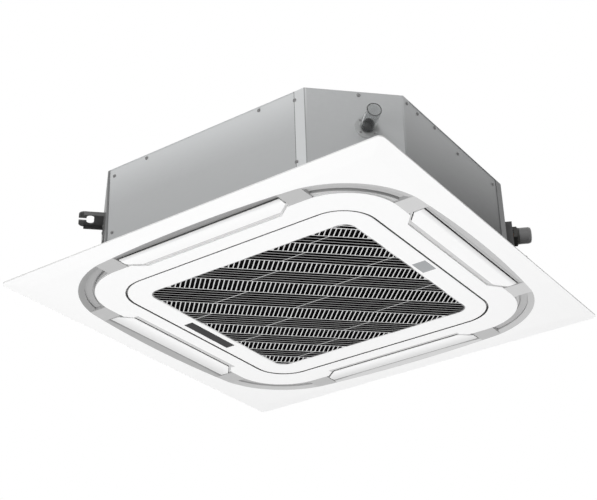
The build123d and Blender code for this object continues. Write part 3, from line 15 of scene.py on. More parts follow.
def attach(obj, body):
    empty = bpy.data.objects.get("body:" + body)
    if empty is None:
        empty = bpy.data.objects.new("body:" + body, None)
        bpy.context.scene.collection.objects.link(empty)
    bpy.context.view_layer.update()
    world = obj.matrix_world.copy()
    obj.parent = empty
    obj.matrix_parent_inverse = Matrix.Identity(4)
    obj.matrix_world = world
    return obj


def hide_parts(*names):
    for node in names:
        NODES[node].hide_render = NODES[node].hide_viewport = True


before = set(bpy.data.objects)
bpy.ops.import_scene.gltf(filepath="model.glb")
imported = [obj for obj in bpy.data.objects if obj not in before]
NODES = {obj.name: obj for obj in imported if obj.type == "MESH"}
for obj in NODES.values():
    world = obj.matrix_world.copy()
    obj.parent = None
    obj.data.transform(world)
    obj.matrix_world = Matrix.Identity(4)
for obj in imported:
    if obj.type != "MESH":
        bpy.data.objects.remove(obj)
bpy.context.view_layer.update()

bl_info = {
    "name": "Ceiling cassette looks",
    "version": (1, 0, 0),
    "blender": (4, 5, 0),
    "location": "View3D > Sidebar > Cassette",
    "description": "Finishes, small parts, stage and lamps for a ceiling cassette unit",
    "category": "Object",
}

# The camera: where it stands, which way its right, top and back point, and its lens in mm.
EYE = (1.43604, -2.18986, -1.42979)
EYE_RIGHT = (0.82225, 0.56836, -0.02913)
EYE_UP = (0.29176, -0.37704, 0.87904)
EYE_BACK = (0.48864, -0.73129, -0.47586)
EYE_LENS = 79.47
EYE_REACH = 100.0

# The lamps: where each stands, where it looks, its square's side, and the setting with its power.
LAMPS = {
    "key_lamp": ((-1.2, -4.0, -1.5), (0, 0, -0.1), 2.6, "key"),
    "under_lamp": ((0.2, -0.4, -4.4), (0, 0, -0.1), 3.4, "under"),
    "corner_lamp": ((0.75, -1.75, 0.65), (0.3, -0.4, 0.0), 0.6, "corner"),
}
FLOOR_RADIUS = 80.0
FLOOR_SIDES = 96
FLOOR_PALE = (0.88, 0.88, 0.88)
# How much of the floor that the camera sees is plain white in place of lit.
FLOOR_GLOW = 0.55

# The panel's lines, as distances out from the middle or along a side. The marks of its finishes
# follow them. Heights are counted up from the panel's face.
PANEL_FACE = -0.145
FRAME_LIP = 0.3450
LIP_ALONG = 0.180
LOUVRE_SHOULDER = 0.386
LOUVRE_OUTER = 0.405
BRIDGE_START = 0.206
BRIDGE_END = 0.258
FLUSH = 0.0005
LEFT_BACK_SLOPE = 0.368
FRONT_RIGHT_SLOPE = 0.394
# The shadow beyond a louvre is full up to the first distance and gone at the second.
GAP_SHADOW = (0.0060, 0.0095)
GROOVE = (0.0065, 0.0090)

# The seam round the intake grille: a square with round corners, and how far its walls reach.
SEAM_HALF = 0.3095
SEAM_CORNER = 0.0805
SEAM_REACH = 0.0023
SEAM_DEPTH = 0.010
SEAM_LEFT_BAND = 0.010

# The intake lattice's diagonal bands, from the middle outward; every second one has
# long slats along it, and the others have short slats across.
BAND_WIDTHS = (0.066, 0.0515, 0.0525, 0.0445, 0.044, 0.0385, 0.0345, 0.0345)
# The thin stiffeners that cross the long slats, measured along a band.
STIFFENER = 0.002
STIFFENER_PITCH = 0.182
STIFFENER_START = 0.004
STIFFENER_SHIFT = 0.49
# Painted shade makes the lattice dark from just above its lower edges.
LATTICE_EDGE = (0.00061, 0.00064)

# The casing. The drain corner's sheet laps over the front one: its free edge, and its fold.
CASING_HALF = 0.42
LAP_EDGE = 0.2545
LAP_FOLD = 0.2788
LAP_LINE_HALF = 0.0009
# How strong the painted shade line along the lap's fold is.
LAP_FOLD_SHADE = 0.6
# How deep behind the casing's front or right these marks reach.
SHADOW_DEPTH = 0.01
LAP_DEPTH = 0.001
SHEET_DEPTH = 0.003
# Where the casing's painted highlight and painted shades start and where they are full.
TOP_HIGHLIGHT_HEIGHTS = (-0.02, 0.072)
LOW_SHADE_HEIGHTS = (0.06, -0.13)
RIGHT_SHADE_ALONG = (-0.30, 0.15)
RIGHT_SHADE_HEIGHTS = (0.06, -0.07)
RIGHT_SHADE_POWER = 1.3

# The drain's clear tube: a cup with a thin wall, and a dark ring inside its inner end.
TUBE_RADIUS = 0.015
TUBE_BORE = 0.0128
TUBE_LENGTH = 0.060
TUBE_ROUND = 0.0005
TUBE_FLOOR = 0.002
MOUTH_RADIUS = TUBE_BORE - 0.0004
MOUTH_WALL = 0.002
MOUTH_START = 0.0025
MOUTH_FLOOR = 0.004
MOUTH_LENGTH = 0.013

# A screw's washer and head: radii as shares of its size, heights as shares of its length.
WASHER = ((0.68, 0.0), (0.70, 0.15), (0.60, 0.3))
HEAD = ((0.54, 0.2), (0.55, 0.75), (0.45, 0.96), (0.28, 1.0), (0.24, 0.7))
HEAD_SIDES = 6
# Screws shorter than this are the small ones, and how large those are.
SMALL_SCREW = 0.002
SMALL_SHARE = 0.6

# Colours of small parts, and of what the casing hides.
FOAM_BLACK = (0.03, 0.03, 0.03)
FOAM_WHITE = (0.85, 0.85, 0.84)
SCREW_STEEL = (0.30, 0.30, 0.30)
PUMP_BLACK = (0.05, 0.05, 0.055)
FLOAT_BLUE = (0.50, 0.58, 0.70)
RUBBER_BLACK = (0.03, 0.03, 0.03)
FLANGE_GREY = (0.52, 0.53, 0.53)
MOUTH_BLACK = (0.01, 0.01, 0.01)
FIN_SILVER = (0.72, 0.74, 0.75)
FAN_GREY = (0.10, 0.105, 0.11)
MOTOR_STEEL = (0.16, 0.16, 0.17)
SHAFT_STEEL = (0.70, 0.71, 0.72)
BOARD_GREEN = (0.05, 0.20, 0.10)
CATCH_BLACK = (0.06, 0.06, 0.065)
FILTER_BLACK = (0.010, 0.010, 0.011)
NET_BLACK = (0.006, 0.006, 0.0065)
FIN_PITCH = 0.0032
NET_PITCH = 0.0018
# The left and pipe corners' sheets are this much darker than the others: painted shade.
CORNER_SHADE = 0.35
# How much each texture counts in the zinc sheet's tone, and how much rolling counts in its bumps.
SPANGLE_SHARE = 0.12
ROLLED_SHARE = 0.33
PATCH_SHARE = 0.55
ROLLED_BUMPS = 0.8
# A circuit board's cells above this level are tracks.
TRACK_LEVEL = 0.72

SAME_POINT = 1e-6
SHARP_ANGLE = 30.0


# ---------------------------------------------------------------- shader maths

class Level:
    """A number from a shader node. Arithmetic on it adds Math nodes."""

    def __init__(self, finish, socket):
        self.finish = finish
        self.socket = socket

    def _math(self, operation, first, second=None):
        values = {0: first} if second is None else {0: first, 1: second}
        return self.finish.add("ShaderNodeMath", {"operation": operation}, values)

    def __add__(self, other):
        return self._math("ADD", self, other)

    __radd__ = __add__

    def __sub__(self, other):
        return self._math("SUBTRACT", self, other)

    def __rsub__(self, other):
        return self._math("SUBTRACT", other, self)

    def __mul__(self, other):
        return self._math("MULTIPLY", self, other)

    __rmul__ = __mul__

    def __truediv__(self, other):
        return self._math("DIVIDE", self, other)

    def __gt__(self, other):
        return self._math("GREATER_THAN", self, other)

    def __lt__(self, other):
        return self._math("LESS_THAN", self, other)

    def __pow__(self, other):
        return self._math("POWER", self, other)

    def absolute(self):
        return self._math("ABSOLUTE", self)

    def sine(self):
        return self._math("SINE", self)

    def fraction(self):
        return self._math("FRACT", self)

    def most(self, other):
        return self._math("MAXIMUM", self, other)

    def least(self, other):
        return self._math("MINIMUM", self, other)

    def between(self, low, high):
        """0 at low, 1 at high, level outside."""
        return self.finish.add("ShaderNodeMapRange", {"clamp": True},
                               {"Value": self, "From Min": low, "From Max": high})


class Finish:
    """A material made of nodes, with a principled shader at its end."""

    def __init__(self, name, colour, roughness, metallic=0.0, coat=0.0):
        self.material = bpy.data.materials.new(name)
        self.material.use_nodes = True
        self.material.diffuse_color = (*colour, 1.0)
        self.nodes = self.material.node_tree.nodes
        self.links = self.material.node_tree.links
        self.nodes.clear()
        self.output = self.nodes.new("ShaderNodeOutputMaterial")
        self.shader = self.nodes.new("ShaderNodeBsdfPrincipled")
        self.links.new(self.shader.outputs["BSDF"], self.output.inputs["Surface"])
        self.fix("Base Color", (*colour, 1.0))
        self.fix("Roughness", roughness)
        self.fix("Metallic", metallic)
        self.fix("Coat Weight", coat)

    def fix(self, name, value):
        """Sets one of the shader's inputs, the same all over."""
        self.shader.inputs[name].default_value = value

    def vary(self, name, level):
        """Lets one of the shader's inputs change over the surface."""
        self.put(self.shader.inputs[name], level)

    def put(self, socket, value):
        """Links or sets one input of any node."""
        if isinstance(value, Level):
            self.links.new(value.socket, socket)
        elif hasattr(value, "__len__") and len(value) == 3 and socket.type == "RGBA":
            socket.default_value = (*value, 1.0)
        else:
            socket.default_value = value

    def add(self, kind, settings, inputs, output=0):
        """Adds one node: its settings first, then the values or links of its inputs."""
        node = self.nodes.new(kind)
        for key, value in settings.items():
            setattr(node, key, value)
        for key, value in inputs.items():
            self.put(node.inputs[key], value)
        return Level(self, node.outputs[output])

    def place(self):
        """Where a point of the piece is, in metres."""
        return self.add("ShaderNodeTexCoord", {}, {}, "Object")

    def stretched(self, scale):
        """The point's place, scaled by axis."""
        return self.add("ShaderNodeVectorMath", {"operation": "MULTIPLY"},
                        {0: self.place(), 1: scale})

    def axes(self):
        """The point's x, y and z."""
        split = self.add("ShaderNodeSeparateXYZ", {}, {0: self.place()})
        return [Level(self, item) for item in split.socket.node.outputs]

    def noise(self, scale, detail=3.0, roughness=0.5, stretch=(1.0, 1.0, 1.0)):
        return self.add("ShaderNodeTexNoise", {}, {
            "Vector": self.stretched(stretch), "Scale": scale, "Detail": detail,
            "Roughness": roughness})

    def cells(self, scale):
        """A random number for each cell."""
        colour = self.add("ShaderNodeTexVoronoi", {"feature": "F1"}, {
            "Vector": self.place(), "Scale": scale}, "Color")
        return self.add("ShaderNodeSeparateColor", {}, {0: colour})

    def mix(self, factor, first, second):
        """Between two colours."""
        return self.add("ShaderNodeMix", {"data_type": "RGBA"},
                        {0: factor, 6: first, 7: second}, 2)

    def marked(self, tone, marks):
        """The tone with marks over it. Each mark is a mask's function, with the mark's colour."""
        for mask, colour in marks:
            tone = self.mix(mask(self), tone, colour)
        return tone

    def roughen(self, middle, *parts):
        """Lets roughness vary about its middle.

        Each part is a level that lies about one half, with how far it swings the roughness."""
        total = None
        for level, swing in parts:
            total = level * swing if total is None else total + level * swing
        self.vary("Roughness", total + (middle - sum(swing for _, swing in parts) / 2))

    def bump(self, height, strength, distance):
        normal = self.add("ShaderNodeBump", {}, {
            "Height": height, "Strength": strength, "Distance": distance})
        self.vary("Normal", normal)


def shade(colour, factor):
    """The colour, darker or lighter."""
    return tuple(min(1.0, value * factor) for value in colour)


# ---------------------------------------------------------------- finishes

def moulded(name, colour, roughness=0.42, grain=900.0, depth=0.00004, drift=0.03, coat=0.0,
            specular=0.5, marks=()):
    """Injection-moulded plastic: a fine grain, a slow drift of colour and roughness, and marks."""
    finish = Finish(name, colour, roughness, coat=coat)
    finish.fix("Specular IOR Level", specular)
    slow = finish.noise(scale=5.0, detail=2.0)
    fine = finish.noise(scale=grain, detail=2.0, roughness=0.6)
    tone = finish.mix(slow, shade(colour, 1.0 - drift), shade(colour, 1.0 + drift))
    finish.vary("Base Color", finish.marked(tone, marks))
    finish.roughen(roughness, (fine, 0.10), (slow, 0.06))
    finish.bump(fine, strength=0.25, distance=depth)
    return finish.material


def zinc_sheet(name, colour, metallic, marks=()):
    """Zinc-coated sheet: a hint of spangle, rolling marks, dull patches and marks."""
    finish = Finish(name, colour, roughness=0.41, metallic=metallic)
    spangle = finish.cells(scale=140.0)
    rolled = finish.noise(scale=26.0, detail=3.0, roughness=0.55, stretch=(1.0, 1.0, 14.0))
    patch = finish.noise(scale=3.2, detail=3.0)
    texture = spangle * SPANGLE_SHARE + rolled * ROLLED_SHARE + patch * PATCH_SHARE
    tone = texture.between(low=0.25, high=0.75)
    sheet = finish.mix(tone, shade(colour, 0.95), shade(colour, 1.05))
    finish.vary("Base Color", finish.marked(sheet, marks))
    finish.roughen(0.41, (spangle, 0.04), (patch, 0.14))
    height = rolled * ROLLED_BUMPS + spangle * (1 - ROLLED_BUMPS)
    finish.bump(height, strength=0.10, distance=0.00005)
    return finish.material


def worn_metal(name, colour, roughness, metallic, scale=120.0):
    """Turned or cast metal with light marks."""
    finish = Finish(name, colour, roughness, metallic=metallic)
    mark = finish.noise(scale=scale, detail=4.0, roughness=0.65)
    dull = finish.noise(scale=18.0, detail=3.0)
    bright = mark.between(low=0.3, high=0.75)
    finish.vary("Base Color", finish.mix(bright, shade(colour, 0.82), shade(colour, 1.1)))
    finish.roughen(roughness, (dull, 0.2))
    finish.bump(mark, strength=0.2, distance=0.00008)
    return finish.material


def foam(name, colour, scale, contrast):
    """Foam: packed beads or cells."""
    finish = Finish(name, colour, roughness=0.85)
    bead = finish.cells(scale)
    tone = finish.mix(bead, shade(colour, 1.0 - contrast), shade(colour, 1.0 + contrast))
    finish.vary("Base Color", tone)
    finish.bump(bead, strength=0.5, distance=0.0006)
    return finish.material


def ribbed(name, colour, pitch, roughness, metallic):
    """Close fins that stand upright, seen as fine lines."""
    finish = Finish(name, colour, roughness, metallic=metallic)
    x, y, _ = finish.axes()
    line = ((x + y) * (2 * math.pi / pitch)).sine() * 0.5 + 0.5
    finish.vary("Base Color", finish.mix(line, shade(colour, 0.35), shade(colour, 1.05)))
    finish.bump(line, strength=0.6, distance=0.0008)
    return finish.material


def woven(name, colour, pitch):
    """A fine square net."""
    finish = Finish(name, colour, roughness=0.7)
    finish.fix("Specular IOR Level", 0.05)
    x, y, _ = finish.axes()
    turn = 2 * math.pi / pitch
    thread = ((x * turn).sine() * (y * turn).sine()).between(low=-0.3, high=0.5)
    finish.vary("Base Color", finish.mix(thread, shade(colour, 0.45), shade(colour, 1.2)))
    finish.bump(thread, strength=0.5, distance=0.0003)
    return finish.material


def clear_tube(name, colour):
    """Clear moulded tube with a faint haze."""
    finish = Finish(name, colour, roughness=0.06)
    finish.fix("Transmission Weight", 0.96)
    finish.fix("IOR", 1.35)
    finish.fix("Specular IOR Level", 0.25)
    haze = finish.noise(scale=70.0, detail=3.0)
    finish.roughen(0.06, (haze, 0.08))
    finish.vary("Base Color", finish.mix(haze, shade(colour, 0.92), colour))
    return finish.material


def circuit_board(name, colour):
    """A circuit board with faint tracks."""
    finish = Finish(name, colour, roughness=0.45)
    cell = finish.cells(scale=260.0)
    finish.vary("Base Color", finish.mix(cell > TRACK_LEVEL, colour, shade(colour, 1.9)))
    finish.bump(cell, strength=0.3, distance=0.0001)
    return finish.material


# ---------------------------------------------------------------- masks of the panel

def across_and_along(finish):
    """How far out a point lies on its side of the panel, how far along it, and its height."""
    x, y, z = finish.axes()
    x, y = x.absolute(), y.absolute()
    return x.most(y), x.least(y), z


def toward_left_back(finish):
    """How far out a point lies toward the left or the back."""
    x, y, _ = finish.axes()
    return (0.0 - x).most(y)


def toward_front_right(finish):
    """How far out a point lies toward the front or the right."""
    x, y, _ = finish.axes()
    return x.most(0.0 - y)


def seam_walls(finish):
    """The walls of the seam round the intake grille, out of the light."""
    x, y, z = finish.axes()
    straight = SEAM_HALF - SEAM_CORNER
    x, y = x.absolute() - straight, y.absolute() - straight
    outside = (x.most(0.0) ** 2 + y.most(0.0) ** 2) ** 0.5
    off = (outside + x.most(y).least(0.0) - SEAM_CORNER).absolute()
    return (off < SEAM_REACH) * (z < PANEL_FACE + SEAM_DEPTH)


def left_seam(finish):
    """The seam's left wall, which takes some light."""
    return seam_walls(finish) * (finish.axes()[0] < SEAM_LEFT_BAND - SEAM_HALF)


def left_back_lip_shade(finish):
    """Painted shade on the centre frame's bevelled lips beside the left and back louvres."""
    _, along, _ = across_and_along(finish)
    return (toward_left_back(finish) > FRAME_LIP) * (along < LIP_ALONG)


def left_back_slopes(finish):
    """The outer slopes of the left and back louvres, turned from the light."""
    return toward_left_back(finish).between(LEFT_BACK_SLOPE, LOUVRE_OUTER)


def front_right_slopes(finish):
    """The outer edges of the front and right louvres, which bend away from the light."""
    return toward_front_right(finish).between(FRONT_RIGHT_SLOPE, LOUVRE_OUTER)


def bridges(finish):
    """The flush bridges between the louvres and the corner recesses."""
    _, along, z = across_and_along(finish)
    return (along > BRIDGE_START) * (along < BRIDGE_END) * (z < PANEL_FACE + FLUSH)


def right_bridges(finish):
    """The two bridges on the right side, which catch more light."""
    return bridges(finish) * (finish.axes()[0] > FRAME_LIP)


def left_recess_shade(finish):
    """Painted shade: the recess in the corner between left and front is darker."""
    x, y, _ = finish.axes()
    return (x < -BRIDGE_END) * (y < -BRIDGE_END)


def corner_groove_shade(finish):
    """Painted shade in the grooves of the corner recesses."""
    _, along, z = across_and_along(finish)
    return (along > BRIDGE_END) * z.between(PANEL_FACE + GROOVE[0], PANEL_FACE + GROOVE[1])


def inner_strips(finish):
    """The ring's strips between the louvres and the centre frame."""
    out, along, _ = across_and_along(finish)
    return (along < BRIDGE_START) * (out < LOUVRE_SHOULDER)


def outer_strip(side):
    """The ring's strip between one louvre and the border."""
    def mask(finish):
        x, y, _ = finish.axes()
        out = {"front": 0.0 - y, "right": x, "back": y, "left": 0.0 - x}[side]
        _, along, _ = across_and_along(finish)
        return (along < BRIDGE_START) * (out > LOUVRE_OUTER)
    return mask


def gap_shadows(finish):
    """The shadow of each louvre's gap on the ring."""
    out, along, _ = across_and_along(finish)
    near_gap = out.between(LOUVRE_OUTER + GAP_SHADOW[1], LOUVRE_OUTER + GAP_SHADOW[0])
    return (along < BRIDGE_START) * near_gap * (out > LOUVRE_SHOULDER)


def right_gap_shadow(finish):
    """The same shadow on the right side, where it is lighter."""
    return gap_shadows(finish) * (finish.axes()[0] > LOUVRE_SHOULDER)


def long_bands():
    """The bands of long slats, as their low and high edges across the diagonal."""
    edge = BAND_WIDTHS[0] / 2
    bands = [(-edge, edge)]
    for index, width in enumerate(BAND_WIDTHS[1:], 1):
        if index % 2 == 0:
            bands += [(edge, edge + width), (-edge - width, -edge)]
        edge += width
    return bands


def long_slat_shade(finish):
    """Painted shade on the lattice's long slats, without the stiffeners that cross them."""
    x, y, _ = finish.axes()
    across = (x - y) / math.sqrt(2)
    mask = None
    for low, high in long_bands():
        start = STIFFENER_START - STIFFENER_SHIFT * (low + high) / 2
        pitches = (y * math.sqrt(2) - start) / STIFFENER_PITCH
        off_middle = (pitches.fraction() - 0.5).absolute()
        clear = off_middle < 0.5 - STIFFENER / STIFFENER_PITCH
        band = (across > low) * (across < high) * clear
        mask = band if mask is None else mask + band
    return mask


def lattice_shade(finish):
    """Painted shade on what lies deeper in the lattice than its lower edges."""
    low, high = LATTICE_EDGE
    return finish.axes()[2].between(PANEL_FACE + low, PANEL_FACE + high)


# ---------------------------------------------------------------- masks of the casing

def top_highlight(finish):
    """Painted highlight: the front sheet is lighter along its top."""
    _, y, z = finish.axes()
    return (y < SHEET_DEPTH - CASING_HALF) * z.between(*TOP_HIGHLIGHT_HEIGHTS)


def low_shade(finish):
    """Painted shade: the sheets grow darker towards their lower edges."""
    return finish.axes()[2].between(*LOW_SHADE_HEIGHTS)


def right_shade(finish):
    """Painted shade: the right side's sheet is darker, most of all at its far and low end."""
    x, y, z = finish.axes()
    far_and_low = y.between(*RIGHT_SHADE_ALONG) * 0.5 + z.between(*RIGHT_SHADE_HEIGHTS) * 0.5
    return (x > CASING_HALF - SHEET_DEPTH) * far_and_low ** RIGHT_SHADE_POWER


def lap_strip(finish):
    """The bent strip between the lap's edge and its fold, which catches the light."""
    x, y, _ = finish.axes()
    return (x > LAP_EDGE) * (x < LAP_FOLD) * (y < LAP_DEPTH - CASING_HALF)


def lap_edge(finish):
    """The thin shadow beside the lap's free edge."""
    x, y, _ = finish.axes()
    return ((x - LAP_EDGE).absolute() < LAP_LINE_HALF) * (y < SHADOW_DEPTH - CASING_HALF)


def lap_fold_shade(finish):
    """A painted shade line along the lap's fold."""
    x, y, _ = finish.axes()
    line = ((x - LAP_FOLD).absolute() < LAP_LINE_HALF) * (y < LAP_DEPTH - CASING_HALF)
    return line * LAP_FOLD_SHADE


# ---------------------------------------------------------------- marks

# Each mark has its mask, the setting that holds its colour, and how light it makes that colour.
# The casing's marks: painted highlight on the front sheet's top and the lap's strip, painted shade
# low down, on the right side and along the lap's fold, and a painted shadow beside the lap's edge.
SHEET_MARKS = (
    (top_highlight, "zinc", 1.25),
    (low_shade, "zinc", 0.84),
    (right_shade, "zinc", 0.0),
    (lap_strip, "zinc", 1.25),
    (lap_edge, "zinc", 0.12),
    (lap_fold_shade, "zinc", 0.30),
)
FRAME_MARKS = (
    (left_back_lip_shade, "strip_grey", 1.0),
    (seam_walls, "seam_shade", 1.0),
    (left_seam, "seam_shade", 6.0),
)
RING_MARKS = (
    (bridges, "bridge_grey", 1.0),
    (right_bridges, "bridge_grey", 1.25),
    (left_recess_shade, "ring_grey", 0.62),
    (corner_groove_shade, "ring_grey", 0.8),
    (inner_strips, "strip_grey", 1.0),
    # The outer strips take a tone for each side: painted shade on the front and left, painted light
    # on the back and right.
    (outer_strip("front"), "ring_grey", 0.6),
    (outer_strip("right"), "ring_grey", 1.02),
    (outer_strip("back"), "strip_grey", 1.0),
    (outer_strip("left"), "ring_grey", 0.8),
    (gap_shadows, "ring_grey", 0.42),
    (right_gap_shadow, "ring_grey", 0.9),
)
LOUVRE_MARKS = (
    (left_back_slopes, "panel_white", 0.74),
    (front_right_slopes, "panel_white", 0.70),
)
GRILLE_MARKS = ((seam_walls, "seam_shade", 1.0),)
LATTICE_MARKS = (
    (long_slat_shade, "lattice", 0.46),
    (lattice_shade, "lattice_shade", 1.0),
)


def coloured(marks, looks):
    """The marks with their colours worked out from the settings."""
    return [(mask, shade(getattr(looks, setting), light)) for mask, setting, light in marks]


# ---------------------------------------------------------------- settings

def colour_property(name, description, *default):
    return FloatVectorProperty(name=name, description=description, default=default, size=3,
                               min=0.0, max=1.0, subtype="COLOR")


class CassetteFinishes(bpy.types.PropertyGroup):
    """Colours and sizes that may be changed."""

    panel_white: colour_property(
        "Panel white", "Border, centre frame, grille and louvres", 0.95, 0.95, 0.95)
    ring_grey: colour_property(
        "Ring grey", "The moulded ring round the louvres", 0.52, 0.52, 0.52)
    bridge_grey: colour_property(
        "Bridge grey", "The ring's bridges beside the louvres", 0.49, 0.49, 0.49)
    # Also the painted shade on the centre frame's lips and the painted light on the ring's back
    # strip.
    strip_grey: colour_property(
        "Strip grey", "The ring's strips inside the louvres", 0.62, 0.62, 0.62)
    # Painted shadow on the walls of the seam round the grille.
    seam_shade: colour_property(
        "Seam", "The walls of the seam round the grille", 0.03, 0.03, 0.03)
    lattice: colour_property(
        "Lattice", "The lower edges of the intake lattice", 0.66, 0.66, 0.66)
    # Painted shade on the lattice's walls.
    lattice_shade: colour_property(
        "Lattice depth", "The walls of the intake lattice", 0.001, 0.001, 0.001)
    zinc: colour_property(
        "Zinc sheet", "The casing's sheets", 0.56, 0.57, 0.575)
    dark_sheet: colour_property(
        "Dark sheet", "Hangers and the cover over the pipes", 0.10, 0.10, 0.10)
    copper: colour_property(
        "Copper", "Tubes and bends", 0.72, 0.40, 0.26)
    dull_brass: colour_property(
        "Dull brass", "Flare nuts", 0.05, 0.049, 0.046)
    cap_grey: colour_property(
        "Pipe caps", "The caps on the pipe ends", 0.30, 0.30, 0.30)
    smoked: colour_property(
        "Display window", "The smoked window over the display", 0.010, 0.010, 0.011)
    badge: colour_property(
        "Badge plate", "The plain plate opposite the display", 0.36, 0.37, 0.38)
    tube: colour_property(
        "Tube", "The clear drain outlet", 0.80, 0.81, 0.81)
    screw_across: FloatProperty(
        name="Screw size", description="Across the flats of a screw's head",
        default=0.006, unit="LENGTH")
    sheet_shine: FloatProperty(
        name="Sheet shine", description="How metallic the zinc sheet is",
        default=0.25, subtype="FACTOR", min=0.0, max=1.0)


class CassetteStage(bpy.types.PropertyGroup):
    """Floor and lamps."""

    floor_depth: FloatProperty(
        name="Floor depth", description="How far the floor lies below the unit",
        default=5.2, unit="LENGTH")
    ambient: FloatProperty(
        name="Ambient", description="Strength of the even light", default=0.25)
    key: FloatProperty(
        name="Key lamp", description="The large lamp at the front", default=50.0, unit="POWER")
    under: FloatProperty(
        name="Under lamp", description="The soft lamp below", default=151.0, unit="POWER")
    corner: FloatProperty(
        name="Corner lamp", description="The small lamp above the drain corner", default=7.0,
        unit="POWER")


# ---------------------------------------------------------------- making pieces

def paint(material, *names):
    """Gives CAD nodes their material."""
    for name in names:
        mesh = NODES[name].data
        mesh.materials.clear()
        mesh.materials.append(material)


def new_piece(name, build, material, body, replaces=()):
    """Turns a filled bmesh into an object that rides on a body."""
    mesh = bpy.data.meshes.new(name)
    build.normal_update()
    build.to_mesh(mesh)
    build.free()
    mesh.materials.append(material)
    mesh.shade_smooth()
    mesh.set_sharp_from_angle(angle=math.radians(SHARP_ANGLE))
    piece = bpy.data.objects.new(name, mesh)
    bpy.context.scene.collection.objects.link(piece)
    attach(piece, body)
    if replaces:
        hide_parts(*replaces)


def loose_parts(node):
    """The separate solids of a CAD node, each as a list of points."""
    build = bmesh.new()
    build.from_mesh(NODES[node].data)
    bmesh.ops.remove_doubles(build, verts=build.verts, dist=SAME_POINT)
    parts, seen = [], set()
    for start in build.verts:
        if start.index in seen:
            continue
        seen.add(start.index)
        queue, points = [start], []
        while queue:
            vertex = queue.pop()
            points.append(vertex.co.copy())
            for edge in vertex.link_edges:
                other = edge.other_vert(vertex)
                if other.index not in seen:
                    seen.add(other.index)
                    queue.append(other)
        parts.append(points)
    build.free()
    return parts


def lathe(build, place, profile, steps=24):
    """Turns a profile of (radius, height) points round the place's Z axis, and caps both ends."""
    rings = []
    for radius, height in profile:
        ring = []
        for index in range(steps):
            angle = 2 * math.pi * index / steps
            point = Vector((radius * math.cos(angle), radius * math.sin(angle), height))
            ring.append(build.verts.new(place @ point))
        rings.append(ring)
    for lower, upper in zip(rings, rings[1:]):
        for index in range(steps):
            after = (index + 1) % steps
            build.faces.new((lower[index], lower[after], upper[after], upper[index]))
    build.faces.new(list(reversed(rings[0])))
    build.faces.new(rings[-1])


def standing(foot, outward):
    """A place at the foot, with Z pointing outward."""
    return Matrix.Translation(foot) @ outward.to_track_quat("Z", "Y").to_matrix().to_4x4()


def facing(points):
    """A place at the foot of a flat round solid on the casing's side, and the solid's thickness.

    Its axis is the level direction in which it is thinnest, taken outward from the unit."""
    centre = sum(points, Vector()) / len(points)
    thickness, axis = None, None
    for degrees in range(180):
        angle = math.radians(degrees)
        way = Vector((math.cos(angle), math.sin(angle), 0.0))
        spread = [way.dot(point) for point in points]
        width = max(spread) - min(spread)
        if thickness is None or width < thickness:
            thickness, axis = width, way
    if axis.dot(centre) < 0:
        axis = -axis
    low = min(axis.dot(point) for point in points)
    foot = centre + axis * (low - axis.dot(centre))
    return standing(foot, axis), thickness


class CassetteOperator:
    """What all the operators share."""

    bl_options = {"REGISTER", "UNDO"}

    @property
    def looks(self):
        return bpy.context.scene.cassette_finishes

    @property
    def stage(self):
        return bpy.context.scene.cassette_stage


class CASSETTE_OT_casing(CassetteOperator, bpy.types.Operator):
    """Finishes the casing's sheets, its insulation and the pan"""

    bl_idname = "cassette.casing"
    bl_label = "Casing and insulation"

    def execute(self, context):
        looks = self.looks
        paint(zinc_sheet("zinc_sheet", looks.zinc, looks.sheet_shine, coloured(SHEET_MARKS, looks)),
              "top_plate", "side_plate_front", "side_plate_right", "side_plate_back",
              "side_plate_left", "corner_plate_drain", "corner_plate_back", "coil_end_plates",
              "control_box", "control_cover", "pump_bracket")
        # The left and pipe corners' sheets are a darker copy of the zinc sheet: painted shade.
        paint(zinc_sheet("dull_zinc", shade(looks.zinc, CORNER_SHADE), looks.sheet_shine),
              "corner_plate_left", "corner_plate_pipe")
        paint(foam("black_foam", FOAM_BLACK, scale=420.0, contrast=0.4),
              "foam_liner", "panel_gasket")
        paint(foam("white_foam", FOAM_WHITE, scale=260.0, contrast=0.05), "drain_pan")
        return {"FINISHED"}


class CASSETTE_OT_screws(CassetteOperator, bpy.types.Operator):
    """Makes the hexagon-headed screws of the casing and the drain flange"""

    bl_idname = "cassette.screws"
    bl_label = "Screws"

    def execute(self, context):
        across = self.looks.screw_across
        steel = worn_metal("screw_steel", SCREW_STEEL, roughness=0.30, metallic=0.7, scale=400.0)
        build = bmesh.new()
        for points in loose_parts("casing_screws"):
            place, length = facing(points)
            width = across if length > SMALL_SCREW else across * SMALL_SHARE
            washer = [(width * radius, length * height) for radius, height in WASHER]
            head = [(width * radius, length * height) for radius, height in HEAD]
            lathe(build, place, washer)
            lathe(build, place, head, HEAD_SIDES)
        new_piece("hex_screws", build, steel, "unit", ("casing_screws",))
        return {"FINISHED"}


class CASSETTE_OT_hangers(CassetteOperator, bpy.types.Operator):
    """Finishes the hangers and the pipe cover"""

    bl_idname = "cassette.hangers"
    bl_label = "Hangers and pipe cover"

    def execute(self, context):
        paint(worn_metal("dark_sheet", self.looks.dark_sheet, roughness=0.5, metallic=0.35,
                         scale=90.0),
              "hanger_left", "hanger_back", "hanger_pipe", "pipe_cover")
        return {"FINISHED"}


